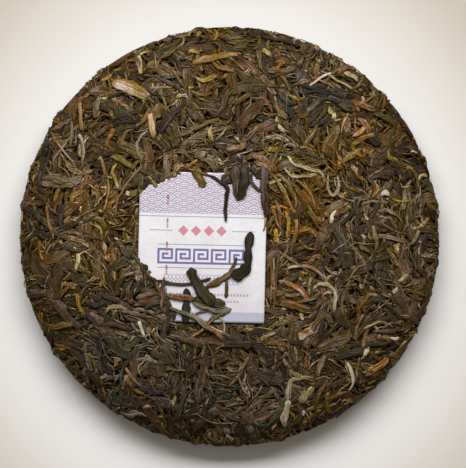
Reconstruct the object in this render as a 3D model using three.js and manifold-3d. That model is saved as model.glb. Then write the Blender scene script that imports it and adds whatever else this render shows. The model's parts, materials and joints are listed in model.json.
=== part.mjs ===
// A pressed pu erh tea cake: a low dome of compressed whole leaves, with the hollow of the cloth's
// knot in its underside, and a paper ticket pressed into its top with a few leaves lying over it.
// Millimetres, +Z up. The origin is the middle of the underside, and the ticket's top faces +Y.
import * as THREE from 'three';
import { mergeVertices } from 'three/addons/utils/BufferGeometryUtils.js';
import Module from 'manifold-3d';

const wasm = await Module();
wasm.setup();

// The cake
const CAKE_DIAMETER = 200;
const CAKE_HEIGHT = 25;
const RIM_LEVEL = 9.5;
const FLAT_RADIUS = 84;
const KNOT_RADIUS = 29;
const KNOT_DEPTH = 11;
const CORE_SIDES = 36;

// The outline: the power of the dome's superellipse, and the steps of its three stretches
const DOME_POWER = 2.6;
const DOME_STEPS = 9;
const EDGE_STEPS = 4;
const KNOT_STEPS = 6;

// How far leaves stand out of the core on the top, at the rim and underneath
const TOP_RELIEF = 1.7;
const RIM_RELIEF = 1.2;
const UNDER_RELIEF = 0.8;

// The ticket
const TICKET_WIDTH = 60;
const TICKET_LENGTH = 70.5;
const TICKET_THICKNESS = 0.4;
const TICKET_MIDDLE = new THREE.Vector2(-12.9, -5.1);
const TICKET_TURN = THREE.MathUtils.degToRad(-1.3);
const TICKET_WAVE = 0.15;
const TICKET_CELLS = [10, 12];

// How long the ticket's soft waves are, each way and on the slant
const WAVE_ACROSS = 8;
const WAVE_ALONG = 11;
const WAVE_SLANT = [19, 23];

// The gap between pieces that touch, and how near two vertices are that are one
const GAP = 0.3;
const MERGE_REACH = 1e-4;

// Loose leaves on the ticket: their thickness, how far their middle stands up, how far and how
// often they wave, how full their ends are, and the steps between two points of their route
const LEAF_THICKNESS = 0.6;
const LEAF_CROWN = 0.35;
const LEAF_WAVE = 0.25;
const LEAF_WAVES = 7;
const LEAF_ENDS = 0.06;
const LEAF_FULLNESS = 0.45;
const LEAF_STEPS = 3;

// Leaves of the cake: how deep their edges are sunk in the core, their steps along, and how far
// their bow shifts their later half against their first one
const EDGE_SUNK = 0.5;
const SPINDLE_STEPS = 4;
const BOW = 0.1;
const BOW_SHIFTS = [[-1, -1], [-0.35, 1], [0.35, 0.6], [1, -0.6]];
const ROUTE_POINTS = 10;

// Leaves of the cake, largest first: how many, and their length and width at most and at least
const TOP_LEAVES = { count: 84, length: [46, 15], width: [11, 4.6] };
const RIM_LEAVES = { count: 40, length: [34, 16], width: [10, 5] };
const UNDER_LEAVES = { count: 34, length: [46, 20], width: [13, 6] };
const SIZE_POWER = 1.6;
const LENGTH_SPREAD = [0.85, 1.15];
const WIDTH_SPREAD = [0.7, 1.2];
const LEAF_RELIEF = [0.65, 1];
const RIDGE_STRAY = 0.5;
const LEAF_BLUNT = [0.4, 0.9];
const PLACE_TRIES = 16;
const SEED = 11;

// The band of the rim's leaves, as far in from the rim and as far out past it, how far in the
// others keep from the rim and the knot hollow, and how far the rim's leaves turn off the round
const RIM_BAND = [9, 11];
const TOP_MARGIN = 10;
const KNOT_MARGIN = 16;
const FLAT_MARGIN = 4;
const RIM_STRAY = 0.9;

// The leaves that cross the ticket: their steps, relief, where their ridge runs and how blunt
const CROSSING = { steps: 7, relief: 1.1, ridge: 0.15, blunt: 0.55, crosses: true };

// Random numbers from 0 to 1 that are the same on each run
function seededRandom(seed) {
    let state = seed;
    return () => {
        state = (state + 0x6d2b79f5) | 0;
        let mixed = Math.imul(state ^ (state >>> 15), 1 | state);
        mixed = (mixed + Math.imul(mixed ^ (mixed >>> 7), 61 | mixed)) ^ mixed;
        return ((mixed ^ (mixed >>> 14)) >>> 0) / 4294967296;
    };
}

const random = seededRandom(SEED);
const between = (low, high) => low + (high - low) * random();
const plan = (x, y) => new THREE.Vector2(x, y);

// The core's outline from the top of the dome, round the rim and under to the top of the hollow
function coreProfile() {
    const radius = CAKE_DIAMETER / 2 - RIM_RELIEF;
    const dome = CAKE_HEIGHT - TOP_RELIEF - RIM_LEVEL;
    const outline = [];
    for (let i = 0; i <= DOME_STEPS; i++) {
        const angle = (Math.PI / 2) * (i / DOME_STEPS);
        const out = i === 0 ? 0 : Math.pow(Math.sin(angle), 2 / DOME_POWER);
        outline.push(plan(radius * out, RIM_LEVEL + dome * Math.cos(angle)));
    }
    for (let i = 1; i <= EDGE_STEPS; i++) {
        const angle = (Math.PI / 2) * (i / EDGE_STEPS);
        const out = FLAT_RADIUS + (radius - FLAT_RADIUS) * Math.cos(angle);
        outline.push(plan(out, RIM_LEVEL - (RIM_LEVEL - UNDER_RELIEF) * Math.sin(angle)));
    }
    for (let i = 0; i <= KNOT_STEPS; i++) {
        const out = 1 - i / KNOT_STEPS;
        const rise = (KNOT_DEPTH * (1 + Math.cos(Math.PI * out))) / 2;
        outline.push(plan(KNOT_RADIUS * out, UNDER_RELIEF + rise));
    }
    return outline;
}

const PROFILE = coreProfile();
const REACH = PROFILE.map(() => 0);
for (let i = 1; i < PROFILE.length; i++) {
    REACH[i] = REACH[i - 1] + PROFILE[i].distanceTo(PROFILE[i - 1]);
}
const WHOLE_REACH = REACH[REACH.length - 1];
const RIM_REACH = REACH[DOME_STEPS];

// The outward normal of the outline at one of its points
const NORMALS = PROFILE.map((point, i) => {
    const before = PROFILE[Math.max(i - 1, 0)];
    const after = PROFILE[Math.min(i + 1, PROFILE.length - 1)];
    const along = after.clone().sub(before).normalize();
    const upright = i === 0 || i === PROFILE.length - 1;
    return upright ? plan(0, i === 0 ? 1 : -1) : plan(-along.y, along.x);
});

// A point on the cake, laid out flat round the middle of the top or of the underside, then
// wrapped over the dome and the rim, at a height over the core's surface
function onCake(flat, height, underside) {
    const spread = flat.length();
    const reach = THREE.MathUtils.clamp(underside ? WHOLE_REACH - spread : spread, 0, WHOLE_REACH);
    let i = 1;
    while (i < PROFILE.length - 1 && REACH[i] < reach) i++;
    const share = (reach - REACH[i - 1]) / (REACH[i] - REACH[i - 1]);
    const place = PROFILE[i - 1].clone().lerp(PROFILE[i], share);
    const normal = NORMALS[i - 1].clone().lerp(NORMALS[i], share).normalize();
    place.addScaledVector(normal, height);
    const turn = Math.atan2(underside ? -flat.y : flat.y, flat.x);
    return new THREE.Vector3(place.x * Math.cos(turn), place.x * Math.sin(turn), place.y);
}

// How far a point of the plan is outside the ticket, or less than nothing inside it
function outsideTicket(flat) {
    const local = flat.clone().sub(TICKET_MIDDLE).rotateAround(plan(0, 0), -TICKET_TURN);
    const across = Math.abs(local.x) - TICKET_WIDTH / 2;
    const along = Math.abs(local.y) - TICKET_LENGTH / 2;
    if (across <= 0 || along <= 0) return Math.max(across, along);
    return Math.hypot(across, along);
}

// Only the places of a geometry, with the vertices that triangles share merged and no flat ones
function closedForm(geometry) {
    const bare = geometry.clone();
    bare.deleteAttribute('normal');
    bare.deleteAttribute('uv');
    const form = mergeVertices(bare, MERGE_REACH);
    const corners = Array.from(form.index.array);
    const kept = [];
    for (let i = 0; i < corners.length; i += 3) {
        const [a, b, c] = corners.slice(i, i + 3);
        if (a !== b && b !== c && c !== a) kept.push(a, b, c);
    }
    form.setIndex(kept);
    return form;
}

function toSolid(geometry) {
    const form = closedForm(geometry);
    const vertProperties = new Float32Array(form.attributes.position.array);
    const triVerts = new Uint32Array(form.index.array);
    return new wasm.Manifold(new wasm.Mesh({ numProp: 3, vertProperties, triVerts }));
}

function toGeometry(solid) {
    const mesh = solid.getMesh();
    const geometry = new THREE.BufferGeometry();
    geometry.setAttribute('position', new THREE.BufferAttribute(mesh.vertProperties, 3));
    geometry.setIndex(new THREE.BufferAttribute(mesh.triVerts, 1));
    geometry.computeVertexNormals();
    return geometry;
}

// Closes an open surface into a thin solid, with a second face split alike and a wall round it.
// faceAt gives the place of a surface point on the upper face (1) or the lower face (0).
function thicken(surface, faceAt) {
    const flat = surface.attributes.position;
    const count = flat.count;
    const places = [];
    for (const face of [1, 0]) {
        for (let i = 0; i < count; i++) {
            places.push(...faceAt(plan(flat.getX(i), flat.getY(i)), face).toArray());
        }
    }
    const upper = Array.from(surface.index.array);
    const corners = [...upper];
    const edges = new Set();
    for (let i = 0; i < upper.length; i += 3) {
        const [a, b, c] = upper.slice(i, i + 3);
        corners.push(a + count, c + count, b + count);
        for (const [from, to] of [[a, b], [b, c], [c, a]]) edges.add(`${from} ${to}`);
    }
    for (const edge of edges) {
        const [from, to] = edge.split(' ').map(Number);
        if (edges.has(`${to} ${from}`)) continue;
        corners.push(from, from + count, to, to, from + count, to + count);
    }
    const geometry = new THREE.BufferGeometry();
    geometry.setAttribute('position', new THREE.Float32BufferAttribute(places, 3));
    geometry.setIndex(corners);
    geometry.computeVertexNormals();
    return geometry;
}

// The ticket: a thin sheet with soft waves, over the bare core
const TICKET_TOP = 2 * TICKET_WAVE + TICKET_THICKNESS + GAP;

function ticketGeometry() {
    const sheet = new THREE.PlaneGeometry(TICKET_WIDTH, TICKET_LENGTH, ...TICKET_CELLS);
    return thicken(sheet, (flat, face) => {
        const across = flat.x / WAVE_ACROSS + flat.y / WAVE_SLANT[0];
        const along = flat.y / WAVE_ALONG - flat.x / WAVE_SLANT[1];
        const wave = Math.sin(across) * Math.cos(along);
        const height = GAP + TICKET_WAVE * (1 + wave) + TICKET_THICKNESS * face;
        return onCake(flat.rotateAround(plan(0, 0), TICKET_TURN).add(TICKET_MIDDLE), height, false);
    });
}

// How much a leaf that crosses the ticket is lifted: fully near it, not at all further off
const LIFT_FULL = 5;
const LIFT_NONE = 9;
const liftShare = (flat) => 1 - THREE.MathUtils.smoothstep(outsideTicket(flat), LIFT_FULL, LIFT_NONE);

// A curled leaf or a stem of the cake: a three-sided spindle with its ridge up and its two edges
// sunk in the core, bent along its route in the plan
function spindle(leaf) {
    const ball = new THREE.SphereGeometry(1, 3, leaf.steps ?? SPINDLE_STEPS);
    ball.rotateY(Math.PI / 2);
    const form = closedForm(ball);
    const route = new THREE.SplineCurve(leaf.route);
    const places = form.attributes.position;
    for (let i = 0; i < places.count; i++) {
        const step = THREE.MathUtils.clamp(places.getY(i), -1, 1);
        const full = Math.pow(Math.sqrt(1 - step * step), leaf.blunt);
        const onRidge = places.getZ(i) > 0;
        const side = onRidge ? full * leaf.ridge : Math.sign(places.getX(i)) * full;
        const share = (1 + step) / 2;
        const along = route.getTangent(share);
        const offset = (side * leaf.width) / 2;
        const flat = route.getPoint(share).add(plan(along.y, -along.x).multiplyScalar(offset));
        const lift = leaf.crosses ? liftShare(flat) : 0;
        const low = THREE.MathUtils.lerp(-EDGE_SUNK, TICKET_TOP + GAP, lift);
        const high = onRidge ? full * (leaf.relief + EDGE_SUNK * (1 - lift)) : 0;
        const place = onCake(flat, low + high, leaf.underside);
        places.setXYZ(i, place.x, place.y, place.z);
    }
    return toSolid(form);
}

// A bowed route through the plan, from its middle, heading, length and bow
function bowedRoute(middle, heading, length, bow) {
    const along = plan(Math.cos(heading), Math.sin(heading));
    const across = plan(-along.y, along.x);
    return BOW_SHIFTS.map(([end, shift]) => middle.clone()
        .addScaledVector(along, (end * length) / 2)
        .addScaledVector(across, shift * bow));
}

// Where a random leaf may not lie
function clearOfTicket(route, width) {
    const points = new THREE.SplineCurve(route).getPoints(ROUTE_POINTS);
    return points.every((point) => outsideTicket(point) > width / 2 + 2 * GAP);
}

// Leaves spread evenly over a ring of the plan, largest first: each takes, of a few places drawn
// at random, the one that lies furthest from those before it
function scatterLeaves({ count, length, width }, ring, relief, underside, heading) {
    const middles = [];
    const solids = [];
    for (let n = 0; n < count; n++) {
        const size = Math.pow(1 - n / count, SIZE_POWER);
        const leafLength = THREE.MathUtils.lerp(length[1], length[0], size) * between(...LENGTH_SPREAD);
        const leafWidth = THREE.MathUtils.lerp(width[1], width[0], size) * between(...WIDTH_SPREAD);
        let best = null;
        for (let k = 0; k < PLACE_TRIES; k++) {
            const turn = between(0, 2 * Math.PI);
            const spread = Math.sqrt(between(ring[0] ** 2, ring[1] ** 2));
            const middle = plan(spread * Math.cos(turn), spread * Math.sin(turn));
            const way = heading(turn);
            const route = bowedRoute(middle, way, leafLength, between(-BOW, BOW) * leafLength);
            if (!underside && !clearOfTicket(route, leafWidth)) continue;
            const room = Math.min(...middles.map((other) => other.distanceTo(middle)));
            if (!best || room > best.room) best = { middle, route, room };
        }
        if (!best) continue;
        middles.push(best.middle);
        solids.push(spindle({
            route: best.route,
            width: leafWidth,
            relief: relief * between(...LEAF_RELIEF),
            ridge: between(-RIDGE_STRAY, RIDGE_STRAY),
            blunt: between(...LEAF_BLUNT),
            underside,
        }));
    }
    return solids;
}

// Leaves and stems of the cake that reach over the ticket's edge, each from outside the ticket
const CROSSING_LEAVES = [
    // Two broad leaves over its upper left corner
    { route: [plan(-50, 22), plan(-38, 27.5), plan(-22, 35)], width: 6 },
    { route: [plan(-49, 30), plan(-40, 33), plan(-27, 36)], width: 6 },
    // A leaf tip, a thin stem, a round leaf and a twig that hang in over its top edge
    { route: [plan(-13.4, 41), plan(-13.4, 33), plan(-13.7, 23.8)], width: 4.4 },
    { route: [plan(-20, 38), plan(-8, 28.5), plan(-1.2, 22.5), plan(-1.4, 8)], width: 1.8 },
    { route: [plan(1.5, 40), plan(4, 30), plan(5.4, 17.4)], width: 9.5, blunt: 0.4 },
    { route: [plan(3, 39), plan(8.5, 30), plan(14.5, 22)], width: 2 },
    // A dark leaf along its right edge
    { route: [plan(18, 38), plan(17.2, 24), plan(16.6, 9.5)], width: 3.6 },
    // A long thin stem and the heap over its lower left corner
    { route: [plan(-52, -5), plan(-40, -17.5), plan(-31, -22.3), plan(-20.4, -23)], width: 1.8 },
    { route: [plan(-51, -10), plan(-42, -18), plan(-33, -29)], width: 5.5 },
    { route: [plan(-52, -17), plan(-41, -25), plan(-30, -34)], width: 6 },
    { route: [plan(-52, -25), plan(-41, -32), plan(-29, -42)], width: 6 },
    { route: [plan(-50, -36), plan(-38, -36), plan(-28, -37)], width: 5.5 },
    { route: [plan(-34, -50), plan(-35, -37), plan(-33.5, -25)], width: 4.5 },
    { route: [plan(-26, -50), plan(-28, -38), plan(-29.5, -27)], width: 3.6 },
    // Thin stems in over its bottom edge
    { route: [plan(-17, -50), plan(-13, -41), plan(-16, -34.5), plan(-25, -33.5)], width: 2 },
    { route: [plan(1, -50), plan(-3, -42), plan(-10, -37)], width: 2 },
];

function cakeGeometry() {
    const lathe = new THREE.LatheGeometry([...PROFILE].reverse(), CORE_SIDES);
    lathe.rotateX(Math.PI / 2);
    const anyWay = () => between(0, Math.PI);
    const mostlyRound = (turn) => turn + Math.PI / 2 + between(-RIM_STRAY, RIM_STRAY);
    const rim = [RIM_REACH - RIM_BAND[0], RIM_REACH + RIM_BAND[1]];
    const top = [0, RIM_REACH - TOP_MARGIN];
    const under = [KNOT_RADIUS + KNOT_MARGIN, FLAT_RADIUS + FLAT_MARGIN];
    const leaves = [
        ...scatterLeaves(RIM_LEAVES, rim, RIM_RELIEF, false, mostlyRound),
        ...scatterLeaves(TOP_LEAVES, top, TOP_RELIEF, false, anyWay),
        ...scatterLeaves(UNDER_LEAVES, under, 2 * UNDER_RELIEF, true, anyWay),
        ...CROSSING_LEAVES.map((leaf) => spindle({ ...CROSSING, ...leaf })),
    ];
    const box = new THREE.BoxGeometry(2 * CAKE_DIAMETER, 2 * CAKE_DIAMETER, 4 * CAKE_HEIGHT);
    box.translate(0, 0, 2 * CAKE_HEIGHT);
    let cake = toSolid(lathe);
    for (const leaf of leaves) cake = cake.add(leaf);
    // Pressed flat underneath, and one sound body: no scraps and no sealed hollows
    const bodies = cake.intersect(toSolid(box)).decompose();
    bodies.sort((one, other) => other.volume() - one.volume());
    return toGeometry(bodies[0]);
}

// A loose leaf on the ticket: a thin strip with a raised middle and a slow wave, bent along its
// route, whose width runs from the first value to the last
function looseLeaf({ route, widths }) {
    const steps = LEAF_STEPS * (route.length - 1);
    const line = new THREE.SplineCurve(route);
    const strip = new THREE.PlaneGeometry(2, 1, 2, steps);
    return thicken(strip, (flat, face) => {
        const share = 0.5 - flat.y;
        const side = flat.x;
        const along = line.getTangent(share);
        const before = Math.min(Math.floor(share * (widths.length - 1)), widths.length - 2);
        const width = THREE.MathUtils.lerp(
            widths[before], widths[before + 1], share * (widths.length - 1) - before);
        const inward = THREE.MathUtils.lerp(LEAF_ENDS, 1 - LEAF_ENDS, share);
        const ends = Math.pow(Math.sin(Math.PI * inward), LEAF_FULLNESS);
        const offset = (side * ends * width) / 2;
        const place = line.getPoint(share).add(plan(-along.y, along.x).multiplyScalar(offset));
        const rise = LEAF_CROWN * (1 - Math.abs(side));
        const wave = LEAF_WAVE * (1 + Math.sin(share * LEAF_WAVES));
        return onCake(place, TICKET_TOP + GAP + rise + wave + LEAF_THICKNESS * face, false);
    });
}

const LOOSE_LEAVES = {
    hooked_leaf: {
        route: [plan(9.7, 1.6), plan(8.4, -4.5), plan(8.2, -10), plan(9.2, -14.5), plan(7, -18.4),
            plan(2.8, -20.2)],
        widths: [3, 3.1, 3.2, 3.4, 4.6, 4.6],
    },
    strap_leaf: {
        route: [plan(3.1, -10.6), plan(0.6, -15.4), plan(-4.4, -20.7), plan(-10.6, -23.4)],
        widths: [1.5, 2, 2.4, 2.4],
    },
    short_stem: {
        route: [plan(-0.9, -21.9), plan(-1.6, -24.7), plan(-1.9, -28.4)],
        widths: [1.4, 1.4],
    },
    broad_leaf: {
        route: [plan(-18.2, -15.4), plan(-15.8, -22), plan(-10.6, -28.6), plan(-3.4, -32.2)],
        widths: [4.4, 4.6, 5.2, 5.4],
    },
    amber_leaf: {
        route: [plan(-25.5, -28.4), plan(-21.5, -28.8), plan(-16.9, -28.3)],
        widths: [3, 3.2],
    },
    upright_leaf: {
        route: [plan(-20.6, -36.4), plan(-20.2, -38.2), plan(-20.3, -39.8)],
        widths: [3.8, 3.8],
    },
};

const PAPER_ROUGHNESS = 0.8;
const TEA_ROUGHNESS = 0.6;
const COLOURS = {
    tea_cake: 0x4d3e29,
    paper_ticket: 0xe9e5ee,
    hooked_leaf: 0x2f2c22,
    strap_leaf: 0x6b5a42,
    short_stem: 0x5a5330,
    broad_leaf: 0x37321f,
    amber_leaf: 0x7a4a24,
    upright_leaf: 0x252a30,
};

function pieceOf(name, geometry) {
    const material = new THREE.MeshStandardMaterial({
        color: COLOURS[name],
        roughness: name === 'paper_ticket' ? PAPER_ROUGHNESS : TEA_ROUGHNESS,
        metalness: 0,
    });
    const mesh = new THREE.Mesh(geometry, material);
    mesh.name = name;
    return mesh;
}

const group = new THREE.Group();
group.add(pieceOf('tea_cake', cakeGeometry()));
group.add(pieceOf('paper_ticket', ticketGeometry()));
for (const [name, leaf] of Object.entries(LOOSE_LEAVES)) {
    group.add(pieceOf(name, looseLeaf(leaf)));
}

export default group;
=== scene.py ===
import json
import math
import random
from functools import reduce

import bpy
from mathutils import Matrix, Vector, noise

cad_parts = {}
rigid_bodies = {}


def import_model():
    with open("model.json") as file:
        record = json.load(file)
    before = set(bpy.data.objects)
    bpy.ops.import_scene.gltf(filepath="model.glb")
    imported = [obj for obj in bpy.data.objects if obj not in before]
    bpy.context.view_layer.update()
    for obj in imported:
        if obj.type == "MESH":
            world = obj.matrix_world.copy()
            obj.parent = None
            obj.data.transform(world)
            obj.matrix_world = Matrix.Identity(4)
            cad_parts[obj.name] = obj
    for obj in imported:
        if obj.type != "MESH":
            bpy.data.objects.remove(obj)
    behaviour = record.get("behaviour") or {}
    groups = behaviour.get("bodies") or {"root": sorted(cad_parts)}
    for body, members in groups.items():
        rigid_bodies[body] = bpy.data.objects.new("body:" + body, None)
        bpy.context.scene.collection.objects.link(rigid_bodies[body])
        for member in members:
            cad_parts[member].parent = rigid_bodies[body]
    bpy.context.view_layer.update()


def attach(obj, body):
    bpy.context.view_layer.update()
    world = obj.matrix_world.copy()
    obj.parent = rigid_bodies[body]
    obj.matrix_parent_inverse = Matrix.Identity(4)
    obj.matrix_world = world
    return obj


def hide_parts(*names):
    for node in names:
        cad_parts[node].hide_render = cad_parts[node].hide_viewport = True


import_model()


# The view: straight down on the cake from well above, as the photo looks, with the ticket's top
# at the top of the picture. Its frame is 466 by 468 pixels and the cake is 420 of them across.
MM = 0.001
PHOTO_PIXELS = (466, 468)
CAKE_PIXELS = 420
CAKE_MIDDLE_PIXEL = (229.5, 236.5)
CAKE_WIDTH = 200 * MM
CAMERA_HEIGHT = 2.4
SENSOR = 36 * MM

pixel = CAKE_WIDTH / CAKE_PIXELS
aim_x = (PHOTO_PIXELS[0] / 2 - CAKE_MIDDLE_PIXEL[0]) * pixel
aim_y = (CAKE_MIDDLE_PIXEL[1] - PHOTO_PIXELS[1] / 2) * pixel
camera_data = bpy.data.cameras.new("camera")
camera_data.sensor_width = SENSOR / MM
camera_data.lens = SENSOR / MM * CAMERA_HEIGHT / (max(PHOTO_PIXELS) * pixel)
camera_data.clip_end = 20
camera = bpy.data.objects.new("camera", camera_data)
camera.location = (aim_x, aim_y, CAMERA_HEIGHT)
bpy.context.scene.collection.objects.link(camera)
bpy.context.scene.camera = camera
bpy.context.scene.view_settings.view_transform = "Standard"


# The studio: a pale floor, painted darker and browner away from the cake as painted shade for the
# light falling off toward the corners, one broad soft lamp beyond the ticket's top edge, which
# throws the short soft shadow below the cake, and a weak warm surround.
FLOOR_COLOUR = (0.8, 0.8, 0.815)
FLOOR_FALLOFF_SHADE_COLOUR = (0.49, 0.44, 0.365)
FLOOR_ROUGHNESS = 0.9
FLOOR_MIDDLE = (-0.002, -0.014, 0)
FLOOR_STRETCH = (1.06, 1, 1)
FLOOR_NEAR = 0.096
FLOOR_FAR = 0.17
FLOOR_HALF = 1.5
KEY_PLACE = (0, 1.3, 1.24)
KEY_TARGET = (0, 0, 0)
KEY_SIZES = (2.7, 0.95)
KEY_POWER = 63.5
SURROUND_COLOUR = (1, 0.9, 0.72)
SURROUND_POWER = 0.22


def linked(name, data):
    thing = bpy.data.objects.new(name, data)
    bpy.context.scene.collection.objects.link(thing)
    return thing


def live(sockets, name):
    """The socket of that name that the node's settings switch on."""
    return next(socket for socket in sockets if socket.enabled and socket.name == name)


def fill(tree, made, inputs):
    """Sets or links a node's inputs, by name or by number."""
    for key, value in inputs.items():
        socket = made.inputs[key] if isinstance(key, int) else live(made.inputs, key)
        if isinstance(value, bpy.types.NodeSocket):
            tree.links.new(value, socket)
        else:
            socket.default_value = value


def node(tree, kind, inputs=None, **settings):
    """Adds a node with its settings and its inputs."""
    made = tree.nodes.new(kind)
    for key, value in settings.items():
        setattr(made, key, value)
    fill(tree, made, inputs or {})
    return made


def vector_maths(tree, operation, *values):
    made = node(tree, "ShaderNodeVectorMath", dict(enumerate(values)), operation=operation)
    return made.outputs["Value" if operation in ("LENGTH", "DOT_PRODUCT") else "Vector"]


def span_to(tree, value, low, high, to_low, to_high, **settings):
    return node(tree, "ShaderNodeMapRange", {
        "Value": value, "From Min": low, "From Max": high, "To Min": to_low, "To Max": to_high,
    }, **settings).outputs[0]


def mixed(tree, share, below, above):
    """One colour turned into another, by a share from 0 to 1."""
    return node(tree, "ShaderNodeMix", {0: share, 6: below, 7: above}, data_type="RGBA").outputs[2]


def shader(name, build):
    """A material whose node tree is made by the function given, around its own surface."""
    material = bpy.data.materials.new(name)
    material.use_nodes = True
    build(material.node_tree, material.node_tree.nodes["Principled BSDF"])
    return material


def floor_surface(tree, surface):
    where = node(tree, "ShaderNodeTexCoord").outputs["Object"]
    away = vector_maths(tree, "SUBTRACT", where, FLOOR_MIDDLE)
    spread = vector_maths(tree, "LENGTH", vector_maths(tree, "MULTIPLY", away, FLOOR_STRETCH))
    # Painted shade: the floor darkens and browns away from its middle, for the light falling off
    # toward the corners
    share = span_to(tree, spread, FLOOR_NEAR, FLOOR_FAR, 0, 1)
    colour = mixed(tree, share, (*FLOOR_COLOUR, 1), (*FLOOR_FALLOFF_SHADE_COLOUR, 1))
    fill(tree, surface, {"Base Color": colour, "Roughness": FLOOR_ROUGHNESS})


floor_mesh = bpy.data.meshes.new("floor")
corners = [(x * FLOOR_HALF, y * FLOOR_HALF, 0) for x, y in ((-1, -1), (1, -1), (1, 1), (-1, 1))]
floor_mesh.from_pydata(corners, [], [(0, 1, 2, 3)])
floor = linked("floor", floor_mesh)
floor.data.materials.append(shader("pale_floor", floor_surface))

key_data = bpy.data.lights.new("key_lamp", "AREA")
key_data.shape = "RECTANGLE"
key_data.size, key_data.size_y = KEY_SIZES
key_data.energy = KEY_POWER
key_lamp = linked("key_lamp", key_data)
key_lamp.location = KEY_PLACE
key_aim = Vector(KEY_TARGET) - Vector(KEY_PLACE)
key_lamp.rotation_euler = key_aim.to_track_quat("-Z", "Y").to_euler()
world = bpy.data.worlds.new("surround")
world.use_nodes = True
fill(world.node_tree, world.node_tree.nodes["Background"], {
    "Color": (*SURROUND_COLOUR, 1), "Strength": SURROUND_POWER})
bpy.context.scene.world = world


# The cake's form: a low dome over a round rim and a flat underside, pressed in a cloth bag whose
# knot leaves the hollow in the underside. The outline runs from the top of the dome, over the rim
# and under to the top of the hollow, and everything in the cake is laid along it.
CAKE_HEIGHT = 25 * MM
RIM_LEVEL = 9.5 * MM
FLAT_RADIUS = 84 * MM
KNOT_RADIUS = 29 * MM
KNOT_DEPTH = 11 * MM
TOP_RELIEF = 1.7 * MM
RIM_RELIEF = 1.2 * MM
UNDER_RELIEF = 0.8 * MM
DOME_POWER = 2.6
DOME_STEPS = 40
EDGE_STEPS = 12
KNOT_STEPS = 24

core_radius = CAKE_WIDTH / 2 - RIM_RELIEF
core_height = CAKE_HEIGHT - TOP_RELIEF


def cake_outline():
    """The outline's points as radius and height: a superellipse, a quarter round and a bell."""
    outline = []
    for i in range(DOME_STEPS + 1):
        angle = math.pi / 2 * i / DOME_STEPS
        out = math.sin(angle) ** (2 / DOME_POWER) if i else 0
        outline.append((core_radius * out, RIM_LEVEL + (core_height - RIM_LEVEL) * math.cos(angle)))
    for i in range(1, EDGE_STEPS + 1):
        angle = math.pi / 2 * i / EDGE_STEPS
        out = FLAT_RADIUS + (core_radius - FLAT_RADIUS) * math.cos(angle)
        outline.append((out, RIM_LEVEL - (RIM_LEVEL - UNDER_RELIEF) * math.sin(angle)))
    for i in range(KNOT_STEPS + 1):
        out = 1 - i / KNOT_STEPS
        rise = KNOT_DEPTH * (1 + math.cos(math.pi * out)) / 2
        outline.append((KNOT_RADIUS * out, UNDER_RELIEF + rise))
    return [Vector(point) for point in outline]


outline = cake_outline()
reaches = [0.0]
for before, after in zip(outline, outline[1:]):
    reaches.append(reaches[-1] + (after - before).length)
whole_reach = reaches[-1]
rim_reach = reaches[DOME_STEPS]
flat_reach = reaches[DOME_STEPS + EDGE_STEPS]


def on_cake(x, y, height):
    """A place over the top or the rim, from its place laid out flat round the top's middle."""
    reach = min(math.hypot(x, y), whole_reach)
    i = 1
    while i < len(reaches) - 1 and reaches[i] < reach:
        i += 1
    share = (reach - reaches[i - 1]) / (reaches[i] - reaches[i - 1])
    along = (outline[i] - outline[i - 1]).normalized()
    place = outline[i - 1].lerp(outline[i], share) + Vector((-along.y, along.x)) * height
    turn = math.atan2(y, x)
    return Vector((place.x * math.cos(turn), place.x * math.sin(turn), place.y))


# The body of the cake under the leaves that show: fine broken leaf pressed to one dark mass. It is
# seen only in the gaps between the leaves, and its face is uneven, as the mass is.
CORE_SUNK = 1.9 * MM
CORE_TURNS = 180
CORE_ROUGH = 0.5 * MM
CORE_LUMPS = 300
CRUMB_COLOURS = ((0.35, (44, 33, 14)), (0.75, (80, 62, 34)))
CRUMB_GRAIN = 900


def seen(red, green, blue):
    """A shader's colour for one given as a screen shows it, from 0 to 255."""
    return tuple((part / 255) ** 2.2 for part in (red, green, blue))


def mesh_piece(name, verts, faces, smooth=True):
    mesh = bpy.data.meshes.new(name)
    mesh.from_pydata(verts, [], faces)
    if smooth:
        mesh.polygons.foreach_set("use_smooth", [True] * len(faces))
    mesh.update()
    return linked(name, mesh)


def in_the_cake(piece):
    """Makes a piece part of the pressed tea."""
    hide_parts("tea_cake")
    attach(piece, "root")


def clouds(tree, vector, scale, detail):
    """Soft noise from 0 to 1."""
    return node(tree, "ShaderNodeTexNoise", {
        "Vector": vector, "Scale": scale, "Detail": detail}).outputs["Fac"]


def colour_ramp(tree, value, stops, interpolation="LINEAR"):
    """A ramp of colours, with a share and a colour for each stop."""
    made = node(tree, "ShaderNodeValToRGB", {"Fac": value})
    made.color_ramp.interpolation = interpolation
    elements = made.color_ramp.elements
    while len(elements) < len(stops):
        elements.new(0.5)
    for element, (share, colour) in zip(elements, stops):
        element.position = share
        element.color = (*colour, 1)
    return made.outputs["Color"]


def bumped(tree, height, strength, distance):
    return node(tree, "ShaderNodeBump", {
        "Strength": strength, "Distance": distance, "Height": height}).outputs["Normal"]


def crumb_surface(tree, surface):
    grain = clouds(tree, node(tree, "ShaderNodeTexCoord").outputs["Object"], CRUMB_GRAIN, 5)
    stops = [(share, seen(*colour)) for share, colour in CRUMB_COLOURS]
    fill(tree, surface, {
        "Base Color": colour_ramp(tree, grain, stops), "Normal": bumped(tree, grain, 1, 0.4 * MM),
        "Roughness": 0.85, "Specular IOR Level": 0.15})


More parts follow.
